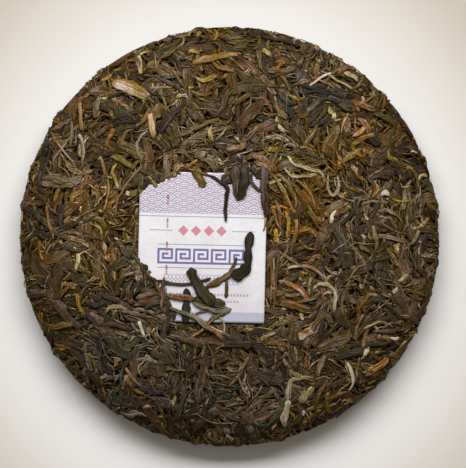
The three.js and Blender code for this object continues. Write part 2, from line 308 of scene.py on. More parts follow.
def core_mesh():
    rings = range(1, len(reaches) - 1)
    verts = [(0, 0, outline[0].y - CORE_SUNK), (0, 0, outline[-1].y + CORE_SUNK)]
    faces = []
    for i in rings:
        along = (outline[i + 1] - outline[i - 1]).normalized()
        normal = Vector((-along.y, along.x))
        for k in range(CORE_TURNS):
            turn = 2 * math.pi * k / CORE_TURNS
            spot = Vector((outline[i].x * math.cos(turn), outline[i].x * math.sin(turn), outline[i].y))
            rough = noise.noise(spot * CORE_LUMPS) * CORE_ROUGH
            place = outline[i] + normal * (rough - CORE_SUNK)
            verts.append((place.x * math.cos(turn), place.x * math.sin(turn), place.y))
    last = 2 + (len(rings) - 1) * CORE_TURNS
    for k in range(CORE_TURNS):
        after = (k + 1) % CORE_TURNS
        faces.append((0, 2 + k, 2 + after))
        for row in range(len(rings) - 1):
            base = 2 + row * CORE_TURNS
            faces.append((base + k, base + CORE_TURNS + k, base + CORE_TURNS + after, base + after))
        faces.append((last + k, 1, last + after))
    return verts, faces


core = mesh_piece("pressed_core", *core_mesh())
core.data.materials.append(shader("pressed_leaf_dust", crumb_surface))
in_the_cake(core)


# The leaves that show are whole tea leaves, withered, rolled and twisted, then steamed soft and
# pressed onto each other every way. Each kind has a few forms, made here lying along X, and one
# Geometry Nodes tree lays them in a flat layer, some running together, and wraps it over the cake.
FACE_POWER = 5
# The ridge value at a leaf's edges and at its tips, which the skin paints as shade along them
EDGE_RIDGE = 0.35
TIP_RIDGE = 0.4
KEEL_SHARE = 0.8
# The grain's place round a leaf: at its first edge, over its whole face, and at its keel
GRAIN_EDGE = 0.06
GRAIN_FACE = 0.6
GRAIN_KEEL = 0.83
TAPER_SHARE = 0.35
TAPER_POWER = 0.7
RAGGED = 0.32


def leaf_strip(chance, spine, halves, thick, across, fold, tips, ragged):
    """A closed leaf along a spine of places, with its half width at each of them.

    Its upper face is folded lengthwise and its under face has one keel. It gives the vertices,
    the faces, the grain's place at each face corner, and how high on a fold each vertex is, which
    the skin paints as highlight and shade."""
    rings = len(spine)
    loop = across + 2
    columns = [0.0]
    for j in range(1, across):
        columns.append(1.0 if j % 2 else 1 - fold * chance.uniform(0.6, 1.15))
    columns.append(0.0)
    slope = chance.uniform(-0.35, 0.35)
    verts = []
    ridges = []
    for i in range(rings):
        along = (spine[min(i + 1, rings - 1)] - spine[max(i - 1, 0)]).normalized()
        aside = Vector((-along.y, along.x, 0))
        tall = thick / 2 * min(1, 0.4 + 0.6 * halves[i] / max(halves))
        for j, column in enumerate(columns):
            side = 2 * j / across - 1
            crown = (1 - abs(side) ** FACE_POWER) * column * chance.uniform(0.8, 1.15)
            edge = 1 + chance.uniform(-ragged, ragged) if j in (0, across) else 1
            level = Vector((0, 0, tall * (crown + slope * side)))
            verts.append(spine[i] + aside * halves[i] * side * edge + level)
            ridges.append(column if 0 < j < across else EDGE_RIDGE)
        verts.append(spine[i] - Vector((0, 0, tall * KEEL_SHARE)))
        ridges.append(0.0)
    first = spine[0] - (spine[1] - spine[0]).normalized() * tips[0] * halves[0]
    final = spine[-1] + (spine[-1] - spine[-2]).normalized() * tips[1] * halves[-1]
    verts += [first, final]
    ridges += [TIP_RIDGE, TIP_RIDGE]

    def around(j):
        if j <= across:
            return GRAIN_EDGE + GRAIN_FACE * j / across
        return GRAIN_KEEL if j == across + 1 else 1.0

    faces = []
    grain = []
    last = (rings - 1) * loop
    for j in range(loop):
        after = (j + 1) % loop
        here, there = around(j), around(j + 1)
        for i in range(rings - 1):
            near, far = (i + 0.5) / rings, (i + 1.5) / rings
            low = i * loop
            faces.append((low + j, low + loop + j, low + loop + after, low + after))
            grain += [(here, near), (here, far), (there, far), (there, near)]
        faces.append((rings * loop, j, after))
        grain += [((here + there) / 2, 0), (here, 0.5 / rings), (there, 0.5 / rings)]
        faces.append((rings * loop + 1, last + after, last + j))
        grain += [((here + there) / 2, 1), (there, 1 - 0.5 / rings), (here, 1 - 0.5 / rings)]
    return verts, faces, grain, ridges


def leaf_mesh(name, verts, faces, grain, values):
    """A mesh of leaves, with its grain map and its values for each vertex."""
    mesh = bpy.data.meshes.new(name)
    mesh.from_pydata(verts, [], faces)
    mesh.polygons.foreach_set("use_smooth", [True] * len(faces))
    grain_map = mesh.uv_layers.new(name="grain")
    grain_map.data.foreach_set("uv", [part for place in grain for part in place])
    for value, numbers in values.items():
        mesh.attributes.new(value, "FLOAT", "POINT").data.foreach_set("value", numbers)
    return mesh


def loose_form(chance, length, width, thick, rings, across, bend, fold, pointed):
    """One leaf form: a spine that bends and sways along X, and ends pointed or broken off."""
    turn = chance.uniform(-bend, bend)
    sway = chance.uniform(-0.5, 0.5) * bend
    spine = [Vector((0, 0, 0))]
    for i in range(rings - 1):
        share = (i + 0.5) / (rings - 1) - 0.5
        heading = 2 * turn * share + sway * math.cos(3 * math.pi * share)
        rise = chance.uniform(-0.12, 0.12) * thick
        step = length / rings
        spine.append(spine[-1] + Vector((step * math.cos(heading), step * math.sin(heading), rise)))
    middle = sum(spine, Vector()) / rings
    spine = [place - middle for place in spine]
    narrow = [chance.uniform(0.25, 0.5) if chance.random() < pointed else chance.uniform(0.65, 0.95)
              for _ in range(2)]
    halves = []
    for i in range(rings):
        share = i / (rings - 1)
        taper = 1
        for least, to_end in zip(narrow, (share, 1 - share)):
            taper *= least + (1 - least) * min(1, to_end / TAPER_SHARE) ** TAPER_POWER
        halves.append(width / 2 * taper * chance.uniform(0.8, 1.15))
    tips = [chance.uniform(0.3, 0.7) if share > 0.6 else chance.uniform(1.2, 2.2) for share in narrow]
    return leaf_strip(chance, spine, halves, thick, across, fold, tips, RAGGED)


def forms_of(kind, count, seed, length, width, thick, **shape):
    """A collection of a few leaf forms of one kind, with sizes between two given in millimetres.

    It is never linked, so it shows nowhere."""
    chance = random.Random(seed)
    forms = bpy.data.collections.new(kind + "_forms")
    for i in range(count):
        sizes = [chance.uniform(low * MM, high * MM) for low, high in (length, width, thick)]
        own = {key: chance.uniform(*span) if isinstance(span, tuple) else span
               for key, span in shape.items()}
        verts, faces, grain, ridges = loose_form(chance, *sizes, **own)
        mesh = leaf_mesh(f"{kind}_form_{i}", verts, faces, grain, {"ridge": ridges})
        forms.objects.link(bpy.data.objects.new(mesh.name, mesh))
    return forms


def maths(tree, operation, *values):
    return node(tree, "ShaderNodeMath", dict(enumerate(values)), operation=operation).outputs[0]


def chained(tree, operation, values):
    """One operation run over all the values, from the first to the last."""
    return reduce(lambda total, value: maths(tree, operation, total, value), values)


def times(tree, *values):
    return chained(tree, "MULTIPLY", values)


def vector_of(tree, x=0.0, y=0.0, z=0.0):
    return node(tree, "ShaderNodeCombineXYZ", {"X": x, "Y": y, "Z": z}).outputs[0]


def random_value(tree, low, high, seed, kind="FLOAT"):
    made = node(tree, "FunctionNodeRandomValue", {
        "Min": low, "Max": high, "Seed": seed}, data_type=kind)
    return live(made.outputs, "Value")


def stored(tree, geometry, name, value, kind="FLOAT", domain="POINT"):
    """The geometry with a value written to it as a named attribute."""
    return node(tree, "GeometryNodeStoreNamedAttribute", {
        "Geometry": geometry, "Name": name, "Value": value}, data_type=kind, domain=domain).outputs[0]


def kept(tree, name, kind="FLOAT"):
    """A named attribute's value."""
    made = node(tree, "GeometryNodeInputNamedAttribute", {"Name": name}, data_type=kind)
    return live(made.outputs, "Attribute")


def tree_of(name, kind, inputs, outputs):
    """A node tree with named sockets, each given with its kind."""
    tree = bpy.data.node_groups.new(name, kind)
    for way, sockets in (("INPUT", inputs), ("OUTPUT", outputs)):
        for socket, socket_kind in sockets.items():
            tree.interface.new_socket(socket, in_out=way, socket_type="NodeSocket" + socket_kind)
    return tree


LAYER_INPUTS = {
    "Forms": "Collection", "Form Count": "Int", "Outline": "Object", "Ticket": "Object",
    "Spacing Top": "Float", "Spacing Under": "Float", "Lowest": "Float", "Highest": "Float",
    "Shortest": "Float", "Longest": "Float", "Tilt": "Float", "Stray": "Float",
    "Press Top": "Float", "Press Under": "Float", "Cells Across": "Int", "Seed": "Int",
    "Material": "Material",
}
DISC_SIDES = 96
MOST_POINTS = 400000
UNDERSIDE_SEEDS = 50
WIDTH_SHARES = (0.7, 1.3)
THICK_SHARES = (0.75, 1.2)
FLOW_SCALE = 27
FLOW_TURN = 4 * math.pi
EDGE_SPARE = 8 * MM
CELL_SHAPE = 3
CELL_MARGIN = 0.05
PRESS_MARGIN = 2 * MM
PRESS_SOFTNESS = 0.4 * MM
RIM_SWELL = 7 * MM
SWELL_SCALE = 100
SWELL_LEVEL = 0.55
SWELL_INSET = 4 * MM
SWELL_FULL = 4 * MM
SWELL_END = 12 * MM


def leaf_layer_side(tree, given, underside):
    """The nodes that lay one side's leaves flat, then press and wrap them over the cake."""
    side = 1 if underside else 0
    seed = maths(tree, "ADD", given["Seed"], side * UNDERSIDE_SEEDS)
    seeds = [maths(tree, "ADD", seed, i) for i in range(10)]
    radius = whole_reach - rim_reach if underside else rim_reach + EDGE_SPARE
    disc = node(tree, "GeometryNodeMeshCircle", {
        "Vertices": DISC_SIDES, "Radius": radius}, fill_type="NGON").outputs["Mesh"]
    points = node(tree, "GeometryNodeDistributePointsOnFaces", {
        "Mesh": disc, "Distance Min": given["Spacing Under" if underside else "Spacing Top"],
        "Density Max": MOST_POINTS, "Seed": seed}, distribute_method="POISSON").outputs["Points"]

    # Laid: each leaf at its own height, and turned as its neighbours are, more or less
    height = random_value(tree, given["Lowest"], given["Highest"], seeds[0])
    raised = node(tree, "GeometryNodeSetPosition", {
        "Geometry": points, "Offset": vector_of(tree, z=height)}).outputs[0]
    flow = clouds(tree, node(tree, "GeometryNodeInputPosition").outputs[0], FLOW_SCALE, 1)
    no_tilt = times(tree, given["Tilt"], -1)
    no_stray = times(tree, given["Stray"], -1)
    turn = vector_of(
        tree, random_value(tree, no_tilt, given["Tilt"], seeds[1]),
        random_value(tree, no_tilt, given["Tilt"], seeds[2]),
        maths(tree, "MULTIPLY_ADD", flow, FLOW_TURN,
              random_value(tree, no_stray, given["Stray"], seeds[3])))
    scale = vector_of(
        tree, random_value(tree, given["Shortest"], given["Longest"], seeds[4]),
        random_value(tree, *WIDTH_SHARES, seeds[5]), random_value(tree, *THICK_SHARES, seeds[6]))
    forms = node(tree, "GeometryNodeCollectionInfo", {
        "Collection": given["Forms"], "Separate Children": True, "Reset Children": True})
    last_form = maths(tree, "SUBTRACT", given["Form Count"], 1)
    laid = node(tree, "GeometryNodeInstanceOnPoints", {
        "Points": raised, "Instance": forms.outputs[0], "Pick Instance": True,
        "Instance Index": random_value(tree, 0, last_form, seeds[7], "INT"),
        "Rotation": node(tree, "FunctionNodeEulerToRotation", {"Euler": turn}).outputs[0],
        "Scale": scale,
    }).outputs[0]
    for name, value in (("tone", random_value(tree, 0, 1, seeds[8])),
                        ("shade", random_value(tree, 0, 1, seeds[9])),
                        ("cell", node(tree, "GeometryNodeInputIndex").outputs[0])):
        laid = stored(tree, laid, name, value, domain="INSTANCE")
    leaves = node(tree, "GeometryNodeRealizeInstances", {"Geometry": laid}).outputs[0]

    # Mapped: a cell for each leaf, the top's leaves in the map's left half and the others right
    cell = kept(tree, "cell")
    column = maths(tree, "MODULO", cell, given["Cells Across"])
    row = maths(tree, "FLOOR", maths(tree, "DIVIDE", cell, given["Cells Across"]))
    wide = maths(tree, "DIVIDE", 0.5, given["Cells Across"])
    tall = times(tree, wide, CELL_SHAPE)
    grain = node(tree, "ShaderNodeSeparateXYZ", {0: kept(tree, "grain", "FLOAT_VECTOR")}).outputs
    inset = [maths(tree, "MULTIPLY_ADD", grain[k], 1 - 2 * CELL_MARGIN, CELL_MARGIN)
             for k in range(2)]
    cell_place = vector_of(
        tree, maths(tree, "MULTIPLY_ADD", maths(tree, "ADD", column, inset[0]), wide, side * 0.5),
        times(tree, maths(tree, "ADD", row, inset[1]), tall))
    leaves = stored(tree, leaves, "OFBake", cell_place, "FLOAT2", "CORNER")

    # Pressed: no leaf stands over the cake's face, and none lies over the ticket's open part
    flat = node(tree, "ShaderNodeSeparateXYZ", {
        0: node(tree, "GeometryNodeInputPosition").outputs[0]}).outputs
    level = vector_of(tree, flat["X"], flat["Y"])
    spread = vector_maths(tree, "LENGTH", level)
    limit = given["Press Under"]
    if not underside:
        limit = span_to(tree, spread, rim_reach + PRESS_MARGIN, flat_reach - PRESS_MARGIN,
                        given["Press Top"], given["Press Under"])
        window = node(tree, "GeometryNodeObjectInfo", {"Object": given["Ticket"]})
        near = node(tree, "GeometryNodeProximity", {
            "Geometry": window.outputs["Geometry"], "Sample Position": level},
            target_element="FACES").outputs["Distance"]
        limit = span_to(tree, near, CLEAR_OF_TICKET, FREE_OF_TICKET, UNDER_TICKET, limit)
    pressed = maths(tree, "SMOOTH_MIN", flat["Z"], limit, PRESS_SOFTNESS)
    leaves = stored(tree, leaves, "depth", times(tree, pressed, -1))
    swell = 0
    if not underside:
        bumps = clouds(tree, level, SWELL_SCALE, 2)
        from_rim = maths(tree, "ABSOLUTE", maths(
            tree, "SUBTRACT", spread, rim_reach - SWELL_INSET))
        size = span_to(tree, from_rim, SWELL_FULL, SWELL_END, RIM_SWELL, 0)
        swell = times(tree, size, maths(tree, "SUBTRACT", bumps, SWELL_LEVEL))

    # Wrapped: the distance from the middle is measured off along the cake's outline
    reach = maths(tree, "SUBTRACT", whole_reach, spread) if underside else spread
    line = node(tree, "GeometryNodeObjectInfo", {"Object": given["Outline"]})
    sample = node(tree, "GeometryNodeSampleCurve", {
        "Curves": line.outputs["Geometry"], "Length": reach}, mode="LENGTH").outputs
    tangent = node(tree, "ShaderNodeSeparateXYZ", {0: sample["Tangent"]}).outputs
    on_line = node(tree, "ShaderNodeSeparateXYZ", {0: sample["Position"]}).outputs
    depth = maths(tree, "SUBTRACT", kept(tree, "depth"), swell)
    out = maths(tree, "MULTIPLY_ADD", tangent["Z"], depth, on_line["X"])
    rise = maths(tree, "SUBTRACT", on_line["Z"], times(tree, tangent["X"], depth))
    if underside:
        level = vector_of(tree, flat["X"], times(tree, flat["Y"], -1))
    toward = vector_maths(tree, "NORMALIZE", level)
    wrapped = vector_maths(tree, "ADD", vector_of(tree, z=rise),
                           vector_maths(tree, "MULTIPLY", toward, vector_of(tree, out, out)))
    return node(tree, "GeometryNodeSetPosition", {
        "Geometry": leaves, "Position": wrapped}).outputs[0]


def leaf_layer_tree():
    tree = tree_of("pressed_leaf_layer", "GeometryNodeTree", LAYER_INPUTS, {"Geometry": "Geometry"})
    given = {socket.name: socket for socket in tree.nodes.new("NodeGroupInput").outputs}
    joined = tree.nodes.new("GeometryNodeJoinGeometry")
    for underside in (False, True):
        tree.links.new(leaf_layer_side(tree, given, underside), joined.inputs[0])
    real = node(tree, "GeometryNodeRealizeInstances", {"Geometry": joined.outputs[0]}).outputs[0]
    painted = node(tree, "GeometryNodeSetMaterial", {
        "Geometry": real, "Material": given["Material"]}).outputs[0]
    node(tree, "NodeGroupOutput", {"Geometry": painted})
    return tree


# The outline as a curve for the tree, and the part of the ticket that no leaves cover, laid out
# flat in the same way. Both are taken away once the leaves are laid.
OPEN_PART = [(-42.1, 23.6), (-23.1, 30.6), (17.9, 29.8), (16.3, -40.7), (-27, -40.9), (-29.5, -31),
             (-33.5, -25.5), (-37.8, -20.2), (-43.2, -11.7)]
CLEAR_OF_TICKET = 0.2 * MM
FREE_OF_TICKET = 1.5 * MM
UNDER_TICKET = -0.4 * MM
PRESS_TOP = 1.5 * MM
PRESS_UNDER = 0.7 * MM

open_part = [Vector((x, y)) * MM for x, y in OPEN_PART]
outline_curve = bpy.data.curves.new("cake_outline", "CURVE")
outline_curve.dimensions = "3D"
spline = outline_curve.splines.new("POLY")
spline.points.add(len(outline) - 1)
for point, spot in zip(spline.points, outline):
    point.co = (spot.x, 0, spot.y, 1)
outline_object = linked("cake_outline", outline_curve)
window = mesh_piece("ticket_window", [(*corner, 0) for corner in open_part],
                    [tuple(reversed(range(len(open_part))))], smooth=False)
layer_tree = leaf_layer_tree()


def lay_leaves(name, forms, material, seed, spacing, levels, lengths, tilt, cells, stray=math.pi):
    """Runs the tree for one kind of leaf and keeps its result as one plain mesh.

    It is given the spacing on top and under, and the lowest and the highest level, in millimetres,
    the shortest and the longest share of a form's length, and the tilt in degrees."""
    piece = linked(name, bpy.data.meshes.new(name))
    modifier = piece.modifiers.new("leaves", "NODES")
    modifier.node_group = layer_tree
    values = {
        "Forms": forms, "Form Count": len(forms.objects), "Outline": outline_object,
        "Ticket": window, "Press Top": PRESS_TOP, "Press Under": PRESS_UNDER,
        "Spacing Top": spacing[0] * MM, "Spacing Under": spacing[1] * MM,
        "Lowest": levels[0] * MM, "Highest": levels[1] * MM, "Shortest": lengths[0],
        "Longest": lengths[1], "Tilt": math.radians(tilt), "Stray": stray, "Cells Across": cells,
        "Seed": seed, "Material": material,
    }
    for item in layer_tree.interface.items_tree:
        if item.in_out == "INPUT":
            modifier[item.identifier] = values[item.name]
    bpy.context.view_layer.update()
    graph = bpy.context.evaluated_depsgraph_get()
    mesh = bpy.data.meshes.new_from_object(piece.evaluated_get(graph), depsgraph=graph)
    piece.modifiers.remove(modifier)
    mesh.name = name
    piece.data = mesh
    for form in list(forms.objects):
        bpy.data.meshes.remove(form.data)
    bpy.data.collections.remove(forms)
    in_the_cake(piece)
    return piece


# A dry leaf's skin, for every kind of leaf: its own colour from the kind's palette, with its own
# streaks and painted highlight and shade on its folds and fine wrinkles (faint on pale leaves) and
# painted shade at its edges, flecked, and painted shade where it lies deep among the others and
# low on the dome toward the rim. The leaves were laid by the handful, so parts are golden, tan,
# slate or purple brown.
SKIN_TINTS = ((0.34, (0.93, 0.97, 0.99)), (0.44, (1, 1, 0.94)), (0.51, (1.04, 0.95, 0.97)),
              (0.57, (1.02, 1.01, 0.86)), (0.68, (1.14, 1.05, 0.7)))
# The handful low on the cake at (6, -82) is darker as well as bluer, partly painted shade for the
# light falling off toward the cake's lower side
# Each handful that differs: its middle and its reach in millimetres, and its tint
HANDFULS = (((30, 24), 34, (1.62, 1.52, 1.24)), ((-50, 16), 36, (1.4, 1.37, 1.3)),
            ((-46, -62), 46, (0.84, 1.0, 1.6)), ((6, -82), 34, (0.84, 0.93, 1.2)),
            ((60, 46), 24, (1.4, 1.26, 0.96)), ((27, -32), 22, (1.15, 1.1, 0.95)),
            ((-4, 90), 22, (1.15, 1.12, 1.08)), ((78, -36), 30, (0.88, 0.88, 0.86)),
            ((-78, -26), 30, (1.27, 1.27, 1.36)))
HANDFUL_CORE = 0.3
RIM_SHADE = 0.8
# Each effect on the skin: the low and the high reading, and what the colour is multiplied by there
# Wrinkles: the leaf's own streaks, and painted highlight on their crests and painted shade in their
# valleys, where the bump is high and low
WRINKLE_STREAK_AND_SHADE_SPAN = (0.34, 0.66, 0.46, 1.7)
BLOTCH_SPAN = (0.3, 0.7, 0.65, 1.4)
FLECK_SPAN = (0.3, 0.7, 0.68, 1.38)
# Painted highlight on the tops of a leaf's folds and painted shade in their valleys, along its edges
# and on its keel
RIDGE_LIGHT_AND_SHADE_SPAN = (0, 1, 0.76, 1.14)
SHADE_SPAN = (0, 1, 0.46, 0.69)
# Painted shade: the deeper a leaf lies among the others, the darker it is, as in the crevices between
# them
DEPTH_SHADE_SPAN = (-0.6 * MM, 1.6 * MM, 1.05, 0.66)
PATCH_SPAN = (0.36, 0.64, 0.8, 1.24)
# Painted shade: darker low on the dome, toward the rim, where its slope falls away from the light
RIM_SHADE_SPAN = (13 * MM, 20 * MM, RIM_SHADE, 1)
LEAST_LIGHT = 0.12
# By a leaf's paleness: how plain it is, its light then, how much of a handful's tint it takes, and
# how strong its colour is
PLAIN_SPAN = (0.12, 0.5, 0, 0.6)
PLAIN_LIGHT = 1.16
FAST_SPAN = (0.08, 0.4, 1, 0.6)
PALE_SATURATION_SPAN = (0.12, 0.5, 1, 0.72)
# By its light, painted light and shade included, how strong its colour is: deeper in the dark and
# greyer where it is brightest, a painted sheen, and by its wrinkles, how rough it is
LIT_SATURATION_SPAN = (0.2, 1.25, 1.9, 0.52)
ROUGHNESS_SPAN = (0.3, 0.7, 0.8, 0.52)
# How far apart the leaves' own patterns are, and how fine the patterns over all the leaves are
TONE_STEP = 61
SHADE_STEP = 83
FLECK_SCALE = 1300
PATCH_SCALE = 36
WARMTH_SCALE = 30
WARMTH_PLACE = (3, 5, 7)


def dry_leaf_group():
    tree = tree_of("dry_leaf_skin", "ShaderNodeTree", {
        "Colour": "Color", "Grain": "Vector", "Place": "Vector", "Tone": "Float", "Shade": "Float",
        "Ridge": "Float", "Depth": "Float", "Wrinkles": "Float",
    }, {"Colour": "Color", "Roughness": "Float", "Height": "Float"})
    given = tree.nodes.new("NodeGroupInput").outputs
    grain = node(tree, "ShaderNodeSeparateXYZ", {0: given["Grain"]}).outputs
    wrinkles = clouds(tree, vector_of(
        tree, times(tree, grain["X"], given["Wrinkles"]), times(tree, grain["Y"], 2.2),
        times(tree, given["Tone"], TONE_STEP)), 1, 4)
    blotches = clouds(tree, vector_of(
        tree, times(tree, grain["X"], 3), times(tree, grain["Y"], 4),
        times(tree, given["Shade"], SHADE_STEP)), 1, 3)
    flecks = clouds(tree, given["Place"], FLECK_SCALE, 2)
    place = node(tree, "ShaderNodeSeparateXYZ", {0: given["Place"]}).outputs
    paleness = node(tree, "ShaderNodeRGBToBW", {"Color": given["Colour"]}).outputs["Val"]
    pattern = times(tree, span_to(tree, wrinkles, *WRINKLE_STREAK_AND_SHADE_SPAN, clamp=False),
                    span_to(tree, blotches, *BLOTCH_SPAN), span_to(tree, flecks, *FLECK_SPAN))
    # The skin's light: its pattern, painted highlight and shade on its folds, its own random shade,
    # painted shade where it lies deep, its patches, and painted shade low on the dome
    light = times(
        tree, node(tree, "ShaderNodeMix", {
            0: span_to(tree, paleness, *PLAIN_SPAN), 2: pattern, 3: PLAIN_LIGHT}).outputs[0],
        span_to(tree, given["Ridge"], *RIDGE_LIGHT_AND_SHADE_SPAN), span_to(tree, given["Shade"], *SHADE_SPAN),
        span_to(tree, given["Depth"], *DEPTH_SHADE_SPAN),
        span_to(tree, clouds(tree, given["Place"], PATCH_SCALE, 2), *PATCH_SPAN),
        span_to(tree, place["Z"], *RIM_SHADE_SPAN))
    light = maths(tree, "MAXIMUM", light, LEAST_LIGHT)
    warmth = clouds(tree, vector_maths(tree, "ADD", given["Place"], WARMTH_PLACE), WARMTH_SCALE, 2)
    coloured = vector_maths(
        tree, "MULTIPLY", given["Colour"], colour_ramp(tree, warmth, SKIN_TINTS))
    level = vector_of(tree, place["X"], place["Y"])
    fastness = span_to(tree, paleness, *FAST_SPAN)
    for middle, reach, own_tint in HANDFULS:
        away = vector_maths(tree, "LENGTH", vector_maths(
            tree, "SUBTRACT", level, (middle[0] * MM, middle[1] * MM, 0)))
        share = span_to(tree, away, reach * MM, reach * HANDFUL_CORE * MM, 0, 1,
                        interpolation_type="SMOOTHSTEP")
        tint = mixed(tree, times(tree, share, fastness), (1, 1, 1, 1), (*own_tint, 1))
        coloured = vector_maths(tree, "MULTIPLY", coloured, tint)
    coloured = vector_maths(tree, "MULTIPLY", coloured, vector_of(tree, light, light, light))
    saturation = times(tree, span_to(tree, light, *LIT_SATURATION_SPAN),
                       span_to(tree, paleness, *PALE_SATURATION_SPAN))
    coloured = node(tree, "ShaderNodeHueSaturation", {
        "Saturation": saturation, "Color": coloured}).outputs[0]
    node(tree, "NodeGroupOutput", {
        "Colour": coloured, "Roughness": span_to(tree, wrinkles, *ROUGHNESS_SPAN),
        "Height": wrinkles})
    return tree


dry_leaf = dry_leaf_group()


def leaf_material(name, palette, wrinkles, stepped=False):
    """A leaf's finish, with a palette of colours that its tone picks from."""
    steps = len(palette) if stepped else len(palette) - 1
    stops = [(i / steps, seen(*colour)) for i, colour in enumerate(palette)]

    def build(tree, surface):
        def attribute(wanted, output="Fac"):
            return node(tree, "ShaderNodeAttribute", attribute_name=wanted).outputs[output]
        tone = attribute("tone")
        skin = node(tree, "ShaderNodeGroup", {
            "Colour": colour_ramp(tree, tone, stops, "CONSTANT" if stepped else "LINEAR"),
            "Grain": attribute("grain", "Vector"),
            "Place": node(tree, "ShaderNodeTexCoord").outputs["Object"], "Tone": tone,
            "Shade": attribute("shade"), "Ridge": attribute("ridge"), "Depth": attribute("depth"),
            "Wrinkles": wrinkles}, node_tree=dry_leaf).outputs
        fill(tree, surface, {
            "Base Color": skin["Colour"], "Roughness": skin["Roughness"],
            "Normal": bumped(tree, skin["Height"], 0.9, 0.6 * MM), "Specular IOR Level": 0.22})
    return shader(name, build)


# Dark rolled leaves, most of the cake: fully fired, twisted tight, olive-black to dark brown.
# They are 6 to 28 mm long and about 2 to 4 mm wide, pressed flat and folded lengthwise.
DARK_PALETTE = ((46, 39, 24), (60, 49, 26), (74, 56, 32), (54, 52, 42), (84, 65, 36), (68, 62, 34),
                (56, 43, 36), (92, 70, 40))
dark_forms = forms_of("dark_leaf", 12, 3, length=(8, 19), width=(1.7, 4.1), thick=(0.6, 0.95),
                      rings=7, across=4, bend=0.5, fold=(0.45, 0.8), pointed=0.5)
lay_leaves("dark_leaves", dark_forms, leaf_material("dark_leaf", DARK_PALETTE, 11), 1,
           spacing=(4.25, 5.1), levels=(-1.0, 0.75), lengths=(0.8, 1.5), tilt=1.5, stray=0.6, cells=48)

# Brown rolled leaves: the same leaf less fired, mid brown and olive with tan and grey ones.
# They are narrower, 1 to 3 mm wide, and lie among the dark ones and over them.
BROWN_PALETTE = ((86, 65, 38), (102, 79, 46), (116, 92, 56), (97, 85, 49), (112, 78, 50),
                 (130, 108, 72), (100, 89, 74), (146, 124, 88))
brown_forms = forms_of("brown_leaf", 12, 5, length=(7, 18), width=(1.1, 3.0), thick=(0.5, 0.85),
                       rings=7, across=4, bend=0.65, fold=(0.45, 0.85), pointed=0.5)
lay_leaves("brown_leaves", brown_forms, leaf_material("brown_leaf", BROWN_PALETTE, 8), 2,
           spacing=(4.6, 5.4), levels=(-0.9, 0.85), lengths=(0.7, 1.4), tilt=1.5, stray=0.6, cells=48)

# Broad leaves: opened out flat or folded once along the midrib, with uneven torn edges.
# They are the largest leaves, up to 31 mm long and 9 mm wide, and mostly partly covered.
BROAD_PALETTE = ((50, 45, 33), (66, 51, 32), (82, 61, 38), (72, 66, 43), (62, 50, 42),
                 (100, 78, 51), (90, 64, 41), (104, 89, 68))
broad_forms = forms_of("broad_leaf", 8, 7, length=(12, 24), width=(4, 7.2), thick=(0.6, 0.9),
                       rings=8, across=8, bend=0.6, fold=(0.5, 0.9), pointed=0.4)
lay_leaves("broad_leaves", broad_forms, leaf_material("broad_leaf", BROAD_PALETTE, 18), 3,
           spacing=(7.8, 9.4), levels=(-0.6, 0.8), lengths=(0.8, 1.3), tilt=1.5, stray=1.1, cells=27)

# Stems: thin round stalks of the picked shoots, tan, straw and pinkish grey, 5 to 26 mm long and
# about a millimetre thick, more bent than the leaves.
STEM_PALETTE = ((92, 72, 46), (118, 95, 62), (138, 116, 86), (112, 100, 60), (152, 132, 100),
                (126, 100, 80), (176, 158, 120))
stem_forms = forms_of("stem", 10, 9, length=(8, 20), width=(0.6, 1.3), thick=(0.6, 0.9),
                      rings=8, across=3, bend=0.8, fold=0.2, pointed=0.1)
lay_leaves("stems", stem_forms, leaf_material("stem", STEM_PALETTE, 3), 4,
           spacing=(6.2, 7.6), levels=(-0.9, 0.95), lengths=(0.6, 1.3), tilt=2, cells=33)

# Tips and golden leaves: buds and sunned leaves, narrow, straw gold to orange brown, 4 to 18 mm
# long. They lie on top, since the maker lays the best leaf outside.
GOLD_PALETTE = ((128, 86, 50), (146, 106, 60), (156, 126, 68), (136, 120, 64), (166, 142, 94),
                (186, 170, 128))
gold_forms = forms_of("gold_leaf", 8, 13, length=(6, 14), width=(1.1, 2.6), thick=(0.7, 1.0),
                      rings=6, across=4, bend=1.1, fold=(0.4, 0.8), pointed=0.5)
lay_leaves("gold_leaves", gold_forms, leaf_material("gold_leaf", GOLD_PALETTE, 5), 5,
           spacing=(11.5, 13), levels=(-0.6, 0.85), lengths=(0.6, 1.3), tilt=2, cells=18)

# Slivers: split stems and rolled edges of leaves, 3 to 20 mm long and about half a millimetre
# wide, dark to pale. They make the fine lines between the leaves.
SLIVER_PALETTE = ((54, 43, 25), (84, 66, 38), (110, 89, 55), (130, 110, 76), (96, 87, 52),
                  (152, 133, 100))
sliver_forms = forms_of("sliver", 8, 17, length=(5, 14), width=(0.35, 0.85), thick=(0.45, 0.7),
                        rings=5, across=2, bend=0.55, fold=0.2, pointed=0.5)
lay_leaves("slivers", sliver_forms, leaf_material("sliver", SLIVER_PALETTE, 2), 7,
           spacing=(2.8, 4.0), levels=(-0.6, 1.0), lengths=(0.6, 1.4), tilt=3, stray=0.6, cells=72)

# Fibres: the finest splits of stem and leaf, 2 to 13 mm long and about a third of a millimetre
# wide, tan to brown. They came off as the tea was rolled, and the steam's damp made them cling.
FIBRE_PALETTE = ((70, 55, 33), (98, 79, 50), (120, 100, 70), (88, 74, 48), (138, 118, 88))
fibre_forms = forms_of("fibre", 6, 19, length=(3, 9), width=(0.25, 0.5), thick=(0.35, 0.5),
                       rings=4, across=2, bend=0.5, fold=0.2, pointed=0.5)
lay_leaves("fibres", fibre_forms, leaf_material("fibre", FIBRE_PALETTE, 2), 8,
           spacing=(3.0, 5.5), levels=(-0.2, 1.1), lengths=(0.6, 1.4), tilt=3, stray=0.6, cells=66)

